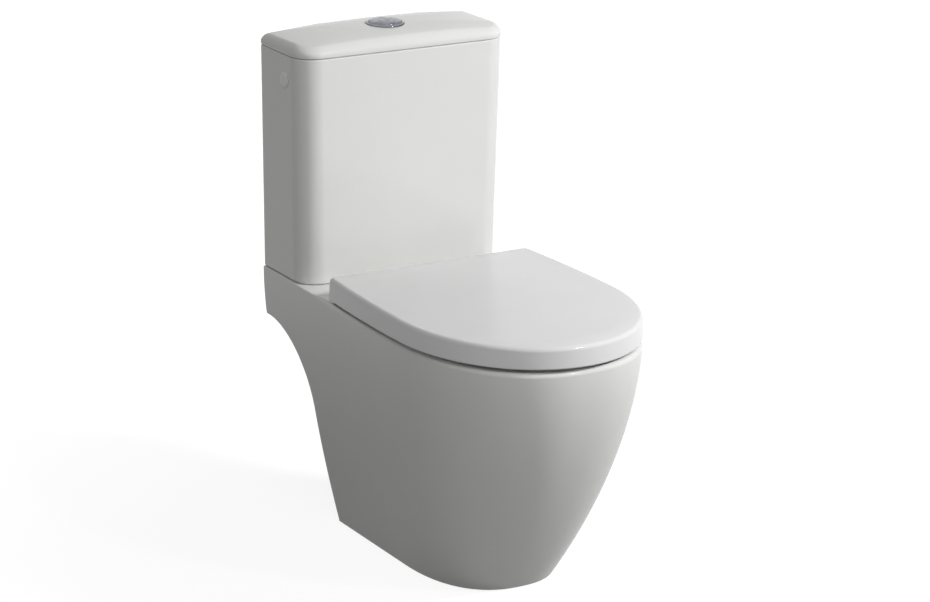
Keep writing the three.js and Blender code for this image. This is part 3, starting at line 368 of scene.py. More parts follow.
def rounded_block(low: Sequence[float], high: Sequence[float], edge: float, top_edge: float) -> Shell:
    """A block with rounded upright edges, a rounded top and a fine chamfer round its foot.

    Args:
        low: Its lowest corner.
        high: Its highest corner.
        edge: Radius of the upright edges.
        top_edge: Radius of the edges round the top.

    Returns:
        The closed shell.
    """
    (x0, y0, z0), (x1, y1, z1) = low, high
    middle, half, chamfer = (x0 + x1) / 2, (x1 - x0) / 2, 0.4

    def ring(inset: float, height: float) -> np.ndarray:
        """The block in plan."""
        corner = max(edge - inset, 0.2)
        points = lift(box_outline(half - inset, y1 - inset, y0 + inset, corner, corner), height)
        return points + np.array([middle, 0, 0])

    top = [ring(inset, z1 - drop) for inset, drop in fillet(top_edge, 5)]
    return Shell.loft([ring(chamfer, z0), ring(0, z0 + chamfer), *top])


class Step(Enum):
    """What the next shell does to the shape so far."""

    JOIN = "UNION"
    CUT = "DIFFERENCE"


Steps = list[tuple[Step, Shell]]


def built(
    name: str, base: Shell, steps: Steps | None = None, sharp: float = SOFT, x: float = 0.0, y: float = 0.0
) -> Piece:
    """Joins and cuts shells in order and shades the result.

    Args:
        name: Name of the piece.
        base: Shell to start from.
        steps: What each further shell does.
        sharp: Angle in degrees above which edges stay sharp.
        x: How far all shells are moved along X.
        y: How far all shells are moved along Y.

    Returns:
        The finished piece.
    """
    start = base.moved(x, y).piece(name + "_base")
    tools = []
    for step, shell in steps or []:
        tools.append(shell.moved(x, y).piece(name + "_tool"))
        change = start.modifiers.new("step", "BOOLEAN")
        change.operation, change.solver, change.object = step.value, "MANIFOLD", tools[-1]
    return smoothed(whole(baked(name, start, tools)), sharp)


def whole(piece: Piece) -> Piece:
    """Clears the empty material slots that joining leaves, and scraps left beside a piece by a thin cut."""
    piece.data.materials.clear()
    mesh = bmesh.new()
    mesh.from_mesh(piece.data)
    unseen = set(mesh.verts)
    while unseen:
        island, edge = set(), {unseen.pop()}
        while edge:
            island |= edge
            edge = {e.other_vert(v) for v in edge for e in v.link_edges} - island
        unseen -= island
        if len(island) < SCRAP:
            bmesh.ops.delete(mesh, geom=list(island), context="VERTS")
    mesh.to_mesh(piece.data)
    mesh.free()
    return piece


def baked(name: str, source: Piece, helpers: Sequence[Piece] = ()) -> Piece:
    """Turns an object with its modifiers into a plain piece and removes the rest.

    Args:
        name: Name of the piece.
        source: Object whose evaluated mesh is kept.
        helpers: Objects that only its modifiers needed.

    Returns:
        The plain piece.
    """
    graph = bpy.context.evaluated_depsgraph_get()
    mesh = bpy.data.meshes.new_from_object(source.evaluated_get(graph), depsgraph=graph)
    for old in (source, *helpers):
        bpy.data.objects.remove(old)
    mesh.name = name
    return linked(name, mesh)


def smoothed(piece: Piece, sharp: float) -> Piece:
    """Shades a piece smooth, but for edges above an angle in degrees, and lets its large faces lead."""
    piece.data.shade_smooth()
    piece.data.set_sharp_from_angle(angle=math.radians(sharp))
    piece.modifiers.new("weigh", "WEIGHTED_NORMAL").keep_sharp = True
    name = piece.name
    piece.name = name + "_rough"
    return baked(name, piece)


# ---- Geometry Nodes: what follows a path or goes round a circle ----


def add_node(
    tree: Tree,
    kind: str,
    settings: dict[str, object] | None = None,
    values: dict[str | int, object] | None = None,
    links: dict[str | int, Feed] | None = None,
) -> Node:
    """Adds a node to a shader tree or a geometry tree.

    Args:
        tree: The tree.
        kind: Blender's name of the node type.
        settings: Properties of the node.
        values: Default values of its inputs.
        links: What feeds its inputs: a socket, or a node for its first output.

    Returns:
        The node.
    """
    node = tree.nodes.new(kind)
    for name, value in (settings or {}).items():
        setattr(node, name, value)
    for name, value in (values or {}).items():
        node.inputs[name].default_value = value
    for name, feed in (links or {}).items():
        tree.links.new(feed.outputs[0] if isinstance(feed, Node) else feed, node.inputs[name])
    return node


class Recipe:
    """A Geometry Nodes tree with named inputs, which ends in real faces with a material.

    Attributes:
        tree: The node tree.
        material: Material of the faces.
        inputs: Identifier of each named input.
        given: Sockets that give the inputs to the rest of the tree, by name.
    """

    def __init__(self, name: str, material: Material, lengths: str, counts: str = "") -> None:
        """Starts a tree.

        Args:
            name: Name of the tree.
            material: Material of the faces.
            lengths: Names of its inputs in millimetres, with a space between names.
            counts: Names of its whole numbers.
        """
        self.tree, self.material = bpy.data.node_groups.new(name, "GeometryNodeTree"), material
        face = self.tree.interface
        for way in ("INPUT", "OUTPUT"):
            face.new_socket("Geometry", in_out=way, socket_type="NodeSocketGeometry")
        kinds = {"NodeSocketFloat": lengths, "NodeSocketInt": counts}
        self.inputs = {
            label: face.new_socket(label, in_out="INPUT", socket_type=kind).identifier
            for kind, labels in kinds.items()
            for label in labels.split()
        }
        self.given = self.add("NodeGroupInput").outputs

    def add(
        self,
        kind: str,
        settings: dict[str, object] | None = None,
        values: dict[str | int, object] | None = None,
        **links: Feed | str,
    ) -> Node:
        """Adds a node to this tree.

        Args:
            kind: Blender's name of the node type.
            settings: Properties of the node.
            values: Default values of its inputs.
            **links: What feeds its inputs, with underscores for spaces; a word is one of the tree's inputs.

        Returns:
            The node.
        """
        feeds = {
            name.replace("_", " "): self.given[feed] if isinstance(feed, str) else feed
            for name, feed in links.items()
        }
        return add_node(self.tree, kind, settings, values, feeds)

    def swept(self, curve: Node) -> None:
        """Sweeps a circle along a curve and closes the tree."""
        ring = self.add("GeometryNodeCurvePrimitiveCircle", Resolution="Sides", Radius="Radius")
        caps = {"Fill Caps": True}
        self.end(self.add("GeometryNodeCurveToMesh", values=caps, Curve=curve, Profile_Curve=ring))

    def end(self, geometry: Node) -> None:
        """Makes instances real, gives them the material and closes the tree."""
        real = self.add("GeometryNodeRealizeInstances", Geometry=geometry)
        dressed = self.add("GeometryNodeSetMaterial", values={"Material": self.material}, Geometry=real)
        self.add("NodeGroupOutput", Geometry=dressed)

    def run(self, path: Sequence[Sequence[float]] = ((0, 0, 0),), **values: float) -> Shell:
        """Runs the tree on a line of points.

        Args:
            path: Points that the tree follows, in millimetres.
            **values: Named inputs.

        Returns:
            The result, in millimetres.
        """
        name = self.tree.name
        mesh = bpy.data.meshes.new(name)
        mesh.from_pydata([tuple(p) for p in path], [(i, i + 1) for i in range(len(path) - 1)], [])
        carrier = linked(name, mesh)
        modifier = carrier.modifiers.new("recipe", "NODES")
        modifier.node_group = self.tree
        for label, value in values.items():
            modifier[self.inputs[label]] = value
        made = baked(name, carrier)
        corners = np.array([v.co for v in made.data.vertices], float).reshape(-1, 3)
        faces = [tuple(p.vertices) for p in made.data.polygons]
        bpy.data.objects.remove(made)
        return Shell(corners, faces)


def pipe_recipe(material: Material) -> Recipe:
    """A round bar along a smooth curve through the path's points."""
    recipe = Recipe("pipe", material, "Radius Step", "Sides")
    curve = recipe.add("GeometryNodeMeshToCurve", Mesh="Geometry")
    smooth = recipe.add("GeometryNodeCurveSplineType", {"spline_type": "CATMULL_ROM"}, Curve=curve)
    recipe.swept(recipe.add("GeometryNodeResampleCurve", {"mode": "LENGTH"}, Curve=smooth, Length="Step"))
    return recipe


def coil_recipe(material: Material) -> Recipe:
    """A wire wound round Z, for springs and for the ridge of a thread."""
    recipe = Recipe("coil", material, "Turns Coil Height Radius", "Sides Segments")
    spiral = {"Resolution": "Segments", "Rotations": "Turns", "Start_Radius": "Coil", "End_Radius": "Coil"}
    recipe.swept(recipe.add("GeometryNodeCurveSpiral", Height="Height", **spiral))
    return recipe


def ribs_recipe(material: Material) -> Recipe:
    """Upright grip ribs round a circle about Z."""
    recipe = Recipe("ribs", material, "Circle Radius Bottom Height", "Ribs Sides")
    circle = recipe.add("GeometryNodeMeshCircle", Vertices="Ribs", Radius="Circle")
    rib = recipe.add("GeometryNodeMeshCylinder", Vertices="Sides", Radius="Radius", Depth="Height")
    spread = recipe.add("GeometryNodeInstanceOnPoints", Points=circle, Instance=rib)
    ends = {0: recipe.given["Height"], 2: recipe.given["Bottom"]}
    middle = add_node(recipe.tree, "ShaderNodeMath", {"operation": "MULTIPLY_ADD"}, {1: 0.5}, ends)
    offset = recipe.add("ShaderNodeCombineXYZ", Z=middle)
    recipe.end(recipe.add("GeometryNodeSetPosition", Geometry=spread, Offset=offset))
    return recipe


# ---- Finishes ----


def linear(colour: str) -> tuple[float, ...]:
    """Turns an sRGB hex colour to linear light."""
    parts = [int(colour[i : i + 2], 16) / 255 for i in (1, 3, 5)]
    red, green, blue = (c / 12.92 if c <= 0.04045 else ((c + 0.055) / 1.055) ** 2.4 for c in parts)
    return red, green, blue, 1.0


@dataclass(frozen=True)
class Finish:
    """A material with cloudy colour, uneven gloss and a fine surface, all on lengths in millimetres."""

    name: str  # what the real material is and how it was made
    colour: str  # its colour as sRGB hex
    shade: str  # the colour that it drifts to: random tone, but on the plated plastic a painted reflection
    roughness: Pair  # roughness of its glossiest and its dullest patches
    drift: float = 60.0  # size of the patches of colour
    patch: float = 25.0  # size of the patches of gloss
    grain: float = 0.6  # size of the surface's bumps
    relief: float = 0.01  # height of the bumps
    ior: float = 1.5  # index of refraction; metals keep the default
    metallic: float = 0.0  # 1 for a metal

    def make(self) -> Material:
        """Builds the material."""
        material = bpy.data.materials.new(self.name)
        material.use_nodes = True
        tree = material.node_tree
        tree.nodes.clear()
        spot = add_node(tree, "ShaderNodeTexCoord").outputs["Object"]
        place = add_node(tree, "ShaderNodeMapping", values={"Scale": (1 / MM,) * 3}, links={"Vector": spot})
        clouds = self.noise(tree, place, self.drift, 2.0)
        colours = {6: linear(self.colour), 7: linear(self.shade)}
        hue = add_node(tree, "ShaderNodeMix", {"data_type": "RGBA"}, colours, {0: clouds})
        patches = self.noise(tree, place, self.patch, 3.0)
        span = {"From Min": 0.3, "From Max": 0.7, "To Min": self.roughness[0], "To Max": self.roughness[1]}
        gloss = add_node(tree, "ShaderNodeMapRange", values=span, links={"Value": patches})
        depth = {"Strength": 1.0, "Distance": self.relief * MM}
        bump = add_node(tree, "ShaderNodeBump", values=depth, links={"Height": self.height(tree, place)})
        body = {"IOR": self.ior, "Metallic": self.metallic}
        skin = {"Base Color": hue.outputs[2], "Roughness": gloss, "Normal": bump}
        shader = add_node(tree, "ShaderNodeBsdfPrincipled", values=body, links=skin)
        add_node(tree, "ShaderNodeOutputMaterial", links={"Surface": shader})
        return material

    def noise(self, tree: Tree, place: Node, size: float, detail: float) -> Node:
        """Noise from 0 to 1 whose patches have a size in millimetres."""
        scale = {"Scale": 1 / size, "Detail": detail}
        return add_node(tree, "ShaderNodeTexNoise", values=scale, links={"Vector": place})

    def height(self, tree: Tree, place: Node) -> Socket:
        """Height of the surface, from 0 to 1."""
        return self.noise(tree, place, self.grain, 2.0).outputs[0]


@dataclass(frozen=True)
class Glaze(Finish):
    """Clear glaze over slip-cast clay: slow ripples where it ran, and an orange peel too fine to see."""

    ripple: float = 34.0  # size of the ripples
    peel: float = 0.06  # share of the orange peel in the height

    def height(self, tree: Tree, place: Node) -> Socket:
        """Slow ripples with a little orange peel on them."""
        layers = {2: self.noise(tree, place, self.ripple, 1.0), 0: self.noise(tree, place, self.grain, 1.0)}
        mixed = add_node(tree, "ShaderNodeMath", {"operation": "MULTIPLY_ADD"}, {1: self.peel}, layers)
        return mixed.outputs[0]


@dataclass(frozen=True)
class Turned(Finish):
    """Metal turned or drawn, with fine lines round or along it."""

    lines: float = 0.5  # distance between the lines

    def height(self, tree: Tree, place: Node) -> Socket:
        """Lines across Z, a little uneven."""
        bands = {"wave_type": "BANDS", "bands_direction": "Z"}
        wave = {"Scale": 1 / (self.lines * math.tau), "Distortion": 1.5, "Detail": 2.0, "Detail Scale": 1.0}
        return add_node(tree, "ShaderNodeTexWave", bands, wave, {"Vector": place}).outputs[1]


class Stuff(Enum):
    """The finishes of the toilet, under the names of their material slots."""

    # Vitreous china, slip cast and sprayed with a zirconium glaze: hard white gloss, very slightly warm.
    VITREOUS_CHINA = Glaze(
        "vitreous china glazed", "#dededc", "#d9d9d7", (0.1, 0.15), 140, 30, 7.0, 0.18, 1.44
    )
    # The foot and other faces that stand on the kiln shelf stay bare: matt, sandy and greyer.
    BISQUE = Finish("bare fired clay", "#cfcac0", "#bdb6a8", (0.75, 0.9), 12, 6, 0.5, 0.06)
    # Urea formaldehyde pressed in a polished mould: glossier and cooler than the china, nearly flawless.
    SEAT_PLASTIC = Glaze(
        "duroplast pressed in a mould", "#dddddd", "#d9d9da", (0.12, 0.17), 90, 30, 5.0, 0.08, 1.44, ripple=55
    )
    # Nickel and chrome on zinc: mirror bright, a cold grey kept darker than bare chrome as painted reflection
    # of a dark room, with hairlines from wiping.
    CHROME_PLATE = Finish(
        "chrome plated zinc", "#96979e", "#7f8087", (0.08, 0.16), 9, 5, 0.35, 0.003, metallic=1.0
    )
    # The same plating on moulded plastic, a touch softer where the thumb rubs. Its grey, and the dark patches
    # that it drifts to, are painted reflection of a dark room round it.
    PLATED_PLASTIC = Finish(
        "chrome plated plastic", "#aaabb3", "#3f4048", (0.16, 0.28), 7, 6, 0.5, 0.004, metallic=1.0
    )
    # Stainless bar and wire with drawing lines.
    STAINLESS_STEEL = Turned("stainless steel drawn", "#b7b8ba", "#a5a6a9", (0.22, 0.32), 10, 4, metallic=1.0)
    # Bolts turned from brass, browned a little by damp.
    BRASS = Turned("brass turned", "#b89a5c", "#94773f", (0.25, 0.42), 7, 4, relief=0.012, metallic=1.0)
    # Acetal valve parts from spark-eroded moulds: an even satin with a fine grain.
    WHITE_VALVE_PLASTIC = Finish(
        "acetal moulded white", "#e4e4df", "#dadad2", (0.38, 0.5), 18, 8, 0.45, 0.02, 1.48
    )
    # Polypropylene from the same moulds: a little duller, dyed right through.
    BLUE_VALVE_PLASTIC = Finish(
        "polypropylene moulded blue", "#3f6fa8", "#3a669b", (0.36, 0.5), 18, 8, 0.45, 0.02, 1.49
    )
    GREY_VALVE_PLASTIC = Finish(
        "polypropylene moulded grey", "#8d9194", "#84888b", (0.38, 0.52), 18, 8, 0.45, 0.02, 1.49
    )
    # EPDM seals: black bloomed to grey, matt.
    BLACK_RUBBER = Finish("rubber moulded black", "#2b2b2b", "#363636", (0.62, 0.8), 9, 5, 0.4, 0.04, 1.52)
    # Thermoplastic rubber pads and the plug's cap: whiter than the china but dull.
    PALE_RUBBER = Finish("rubber moulded pale", "#f0f0ed", "#eaeae6", (0.42, 0.56), 12, 6, 0.5, 0.03)


class Workshop:
    """Keeps one material for each finish and hands pieces over to the frame."""

    def __init__(self) -> None:
        """Builds the materials."""
        self.materials = {stuff.name.lower(): stuff.value.make() for stuff in Stuff}

    def leave_bare(self, piece: Piece, below: float) -> None:
        """Leaves the faces of a china piece that point down, below a height in millimetres, without glaze."""
        for slot in ("vitreous_china", "bisque"):
            piece.data.materials.append(self.materials[slot])
        for face in piece.data.polygons:
            if face.normal.z < DOWNWARD and face.center.z < below * MM:
                face.material_index = 1

    def hand_over(self, piece: Piece) -> Piece:
        """Dresses a piece, lets it ride on its CAD node's body and stand for that node.

        Args:
            piece: A finished mesh in the row frame, whose name is its CAD node's and a word for what it is
                made of.

        Returns:
            The piece.
        """
        node = piece.name.rpartition("_")[0]
        slot, body = NODE_SLOT[node], NODE_BODY[node]
        if not piece.data.materials:
            piece.data.materials.append(self.materials[slot])
        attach(piece, body)
        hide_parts(node)
        log.info("%s: %d faces on body %s", piece.name, len(piece.data.polygons), body)
        return piece


# ---- Pan ----


def catch(value: float, start: float, end: float) -> float:
    """A smooth step from 0 at start to 1 at end."""
    share = float(np.clip((value - start) / (end - start), 0, 1))
    return share * share * (3 - 2 * share)


@dataclass
class Pan:
    """The pan: one fired body with the bowl, its trap, the flushing duct and the ledge for the cistern."""

    half_width: float = 180.5  # half width at the rim
    base_half_width: float = 108.7  # half width at the floor
    front: float = -662.0  # Y of the rim's front
    base_setback: float = 167.0  # how far the foot stands behind the rim's front
    nose: float = 245.0  # length of the rounded front
    # powers of the curves that the sides and the front follow from rim to floor
    bulge: Pair = (1.5, 1.75)
    # power of the front in plan at the rim, and what is added to it down to the floor
    blunt: Pair = (2.3, 0.12)
    pinch: float = 6.0  # how much narrower each side of the rim is at its rear
    rear: float = -2.0  # Y of the ledge's rear edge
    rear_corner: float = 3.0  # radius of the upright corners at the rear
    wall: float = 12.0  # thickness of the side walls
    slab: float = 26.0  # thickness of the rim and the ledge
    ceiling_corner: float = 10.0  # rounding under the ledge, along the walls
    shroud: float = -130.0  # Y of the side walls' rear edge at the floor
    arch: float = 120.0  # radius of the sweep from the side walls to the ledge
    arch_drop: float = 79.5  # from the rim down to the top of that sweep
    arch_corner: float = 3.0  # rounding where that sweep meets the ledge's rear edge
    # roundings where that sweep breaks through the walls' outer and inner skin
    arch_edges: Pair = (4.5, 3.5)
    rim_edge: float = 8.0  # rounding of the rim
    ledge_edge: float = 2.2  # rounding of the ledge, which is crisper
    # Y where the ledge's rounding starts to turn into the rim's, and where it has
    edge_change: Pair = (-150.0, -235.0)
    foot_edge: float = 1.5  # rounding at the floor
    mouth: float = 8.0  # rounding of the bowl's mouth
    # half widths of the bowl at its mouth and at its lowest point
    bowl_half: Pair = (127.0, 44.0)
    bowl_rear: float = -258.0  # Y of the rear of the bowl's mouth
    bowl_front: float = 50.0  # from the rim's front to the bowl's mouth
    bowl_slope: float = 42.0  # how far the bowl's rear runs forward from its mouth to its lowest point
    # from the bowl's rear to its widest place, at its lowest point, and what its mouth adds
    bowl_widest: Pair = (92.0, 60.0)
    sump: float = 134.0  # from the rear of the bowl's mouth to its lowest point
    bowl_floor: float = 60.0  # height of the bowl's lowest point
    bowl_power: float = 2.15  # power of the bowl in plan
    bowl_wall: float = 11.0  # thickness of the bowl
    # powers that the bowl's half width and its front follow from its mouth to its lowest point
    side_fall: Pair = (2.1, 0.75)
    front_fall: Pair = (1.7, 0.8)
    rear_fall: float = 1.2  # the same for its rear
    # the trap's middle line as distances from the wall and heights
    trap: tuple[Pair, ...] = (
        (350, 104), (322, 74), (284, 82), (246, 128), (210, 180), (168, 204), (112, 191), (60, 185)
    )
    # the flushing duct's middle line as distances from the wall and drops from the rim
    duct: tuple[Pair, ...] = ((58, 30), (64, 50), (96, 66), (168, 66), (228, 58), (270, 52))
    trap_radii: Pair = (49.0, 38.0)  # outer and inner radius of the trap
    duct_radii: Pair = (37.0, 28.0)  # outer and inner radius of the flushing duct
    spigot_radii: Pair = (51.0, 41.0)  # outer and inner radius of the waste spigot
    # Y of the spigot's root, of its open end, and of a place past it
    spigot_ends: Triple = (-79.0, -25.0, -5.0)
    spigot_edge: float = 3.0  # rounding of the spigot's end
    stride: float = 9.0  # length of the segments that trap and duct are made of
    outlet: float = 185.0  # height of the waste outlet
    inlet: Pair = (34.0, 42.3)  # radius of the flush inlet and of the recess over it
    recess: float = 8.0  # depth of that recess
    inlet_depth: float = 32.0  # from the rim to the lower end of the inlet
    inlet_edges: Pair = (2.0, 1.5)  # roundings of the inlet's mouth and of the recess's
    bolt_edge: float = 1.0  # rounding of the bolt holes' mouths
    # distance from the middle, and Y, of the seat's and the cistern's bolts
    bolt_places: tuple[Pair, ...] = ((77.5, HINGE.y), (BOLT_X, -68.5))

    def half_at(self, drop: float) -> float:
        """Half width at a share of the way down from the rim."""
        return self.half_width - (self.half_width - self.base_half_width) * drop ** self.bulge[0]

    def ring(self, height: float, inset: float, rear: float | None = None) -> np.ndarray:
        """The pan's outline at a height.

        Args:
            height: Height above the floor.
            inset: How far it is drawn in.
            rear: Y of its rear edge, if not the pan's own.

        Returns:
            The closed outline, lifted to that height.
        """
        drop = 1 - float(np.clip(height, 0, RIM)) / RIM
        half = self.half_at(drop)
        front = self.front + self.base_setback * drop ** self.bulge[1]
        power, more = self.blunt
        outline = d_outline(
            rear=self.rear - inset if rear is None else rear,
            rear_half=half - self.pinch * (1 - drop) - inset,
            corner=self.rear_corner,
            start=self.nose + self.front + (front - self.front) / 2,
            half=half - inset,
            front=front + inset,
            power=power + more * drop,
        )
        return lift(outline, height)

    def skin(self, y: float, height: float) -> float:
        """X of the pan's side, at a place behind the rounded front."""
        drop = 1 - float(np.clip(height, 0, RIM)) / RIM
        rear = self.rear - self.rear_corner
        start = self.nose + self.front + self.base_setback * drop ** self.bulge[1] / 2
        share = float(np.clip((y - rear) / (start - rear), 0, 1))
        return self.half_at(drop) - self.pinch * (1 - drop) * (1 - share) ** 2

    def outside(self) -> Shell:
        """The pan's outside as one solid."""
        rings = [self.ring(rise, inset) for rise, inset in fillet(self.foot_edge, 5)]
        rings += [self.ring(h, 0) for h in np.linspace(self.foot_edge, RIM - self.rim_edge, 28)[1:-1]]
        for edges in zip(fillet(self.ledge_edge, 8), fillet(self.rim_edge, 8)):
            crisp, soft = (self.ring(RIM - drop, inset) for inset, drop in edges)
            share = np.array([catch(y, *self.edge_change) for y in crisp[:, 1]])[:, None]
            rings.append(crisp * (1 - share) + soft * share)
        return Shell.loft(rings)

    def arch_cutter(self) -> Shell:
        """What is cut away under the ledge, widened where it breaks through each skin."""
        under, behind, beside, run, corner = -10, 15, 12, 8, self.arch_corner
        middle = (self.shroud + self.arch, RIM - self.arch_drop - self.arch)
        bend = (self.rear - corner, RIM - self.arch_drop + corner)

        def sweep(centre: Pair, radius: float, turns: np.ndarray, way: int) -> list[tuple]:
            """Points on an arc, each with the direction that the cut widens in."""
            rays = [(math.cos(turn), math.sin(turn)) for turn in turns]
            return [(centre[0] + radius * c, centre[1] + radius * s, way * c, way * s) for c, s in rays]

        loop = [(self.shroud, height, -1, 0) for height in np.linspace(under, middle[1], 16)[:-1]]
        last = math.acos((bend[0] - middle[0]) / self.arch)
        loop += sweep(middle, self.arch, np.linspace(math.pi, last, 30), 1)
        loop += sweep(bend, corner, np.radians(np.linspace(-75, -10, 6)), -1)
        y, z, across, up = loop[-1]
        loop.append((y + up * run, z - across * run, across, up))
        loop += [(behind, loop[-1][1], 0, 0), (behind, under, 0, 0)]

        outer, inner = self.arch_edges
        side = crossing(outer, 2)[::-1]
        side += [(self.wall - depth, widening) for depth, widening in crossing(inner, 2)]
        side.insert(0, (None, side[0][1]))
        rings = []
        for depth, widening, sign in [(*at, 1) for at in side] + [(*at, -1) for at in side[::-1]]:
            ring = []
            for y, z, across, up in loop:
                x = self.half_width + beside if depth is None else self.skin(y, z) - depth
                ring.append((sign * x, y + across * widening, z + up * widening))
            rings.append(np.array(ring))
        return Shell.loft(rings)

    def hollow(self) -> Shell:
        """The room between the side walls, with a rounded ceiling."""
        ceiling, corner, behind = RIM - self.slab, self.ceiling_corner, 15
        rings = [self.ring(h, self.wall, behind) for h in np.linspace(0, ceiling - corner, 22)]
        rings[0][:, 2] = -PAST
        for inset, drop in fillet(corner, 6)[1:]:
            rings.append(self.ring(ceiling - drop, self.wall + inset, behind))
        return Shell.loft(rings)

    def bowl_ring(self, depth: float, grow: float) -> np.ndarray:
        """The bowl at a depth from 0 at its mouth to 1 at its lowest point, grown by an offset."""
        sump, front = self.bowl_rear - self.sump, self.front + self.bowl_front
        (widest, narrowest), (near, far) = self.bowl_half, self.bowl_widest
        side, ahead = ((1 - depth**a) ** b for a, b in (self.side_fall, self.front_fall))
        ring = egg_outline(
            narrowest + (widest - narrowest) * side + grow,
            self.bowl_rear - self.bowl_slope * depth**self.rear_fall + grow,
            self.bowl_rear - near - far * (1 - depth),
            sump + (front - sump) * ahead - grow,
            self.bowl_power,
        )
        return lift(ring, RIM + (self.bowl_floor - RIM) * depth - grow * depth)

    def bowl_inside(self) -> Shell:
        """What is cut out for the bowl, with a rounded mouth."""
        rings = [self.bowl_ring(d, 0) for d in np.sin(np.linspace(math.pi / 2, 0.05, 34))]
        for depth, widening in crossing(self.mouth, 12):
            rings.append(self.bowl_ring(max(depth, 0.0) / (RIM - self.bowl_floor), widening))
            rings[-1][:, 2] = RIM - depth
        return Shell.loft(rings)

    def tubes(self, pipes: Recipe, layer: int, step: Step) -> Steps:
        """The trap, the spigot and the duct.

        Args:
            pipes: The recipe for the trap and the duct.
            layer: 0 for their outsides and 1 for their bores.
            step: What they do to the pan.

        Returns:
            The steps.
        """
        trap = [(0, -setback, height) for setback, height in self.trap]
        duct = [(0, -setback, RIM - drop) for setback, drop in self.duct]
        root, *ends = self.spigot_ends
        spigot = bar(self.spigot_radii[layer], root, ends[layer], (self.spigot_edge, 0)[layer], 64)
        shells = (
            pipes.run(trap, Radius=self.trap_radii[layer], Step=self.stride, Sides=48),
            spigot.along_y().moved(z=self.outlet),
            pipes.run(duct, Radius=self.duct_radii[layer], Step=self.stride, Sides=40),
        )
        return [(step, shell) for shell in shells]

    def make(self, pipes: Recipe) -> Piece:
        """Builds the pan from its outside, with the recipe for the trap and the duct."""
        skins = [self.bowl_ring(d, self.bowl_wall) for d in np.sin(np.linspace(math.pi / 2, 0.03, 22))]
        (inlet, recess), (edge, recess_edge), floor = self.inlet, self.inlet_edges, RIM - self.recess
        below = RIM - self.slab - PAST
        steps = [
            (Step.CUT, self.arch_cutter()),
            (Step.CUT, self.hollow()),
            (Step.JOIN, Shell.loft(skins)),
            *self.tubes(pipes, 0, Step.JOIN),
            (Step.CUT, self.bowl_inside()),
            *self.tubes(pipes, 1, Step.CUT),
            (Step.CUT, bore(inlet, RIM - self.inlet_depth, floor, edge).moved(y=VALVE_Y)),
            (Step.CUT, bore(recess, floor, RIM, recess_edge).moved(y=VALVE_Y)),
        ]
        for _, side in SIDES:
            for x, y in self.bolt_places:
                steps.append((Step.CUT, bore(BOLT_HOLE, below, RIM, self.bolt_edge).moved(side * x, y)))
        return built("pan_china", self.outside(), steps)


# ---- Cistern and its lid ----


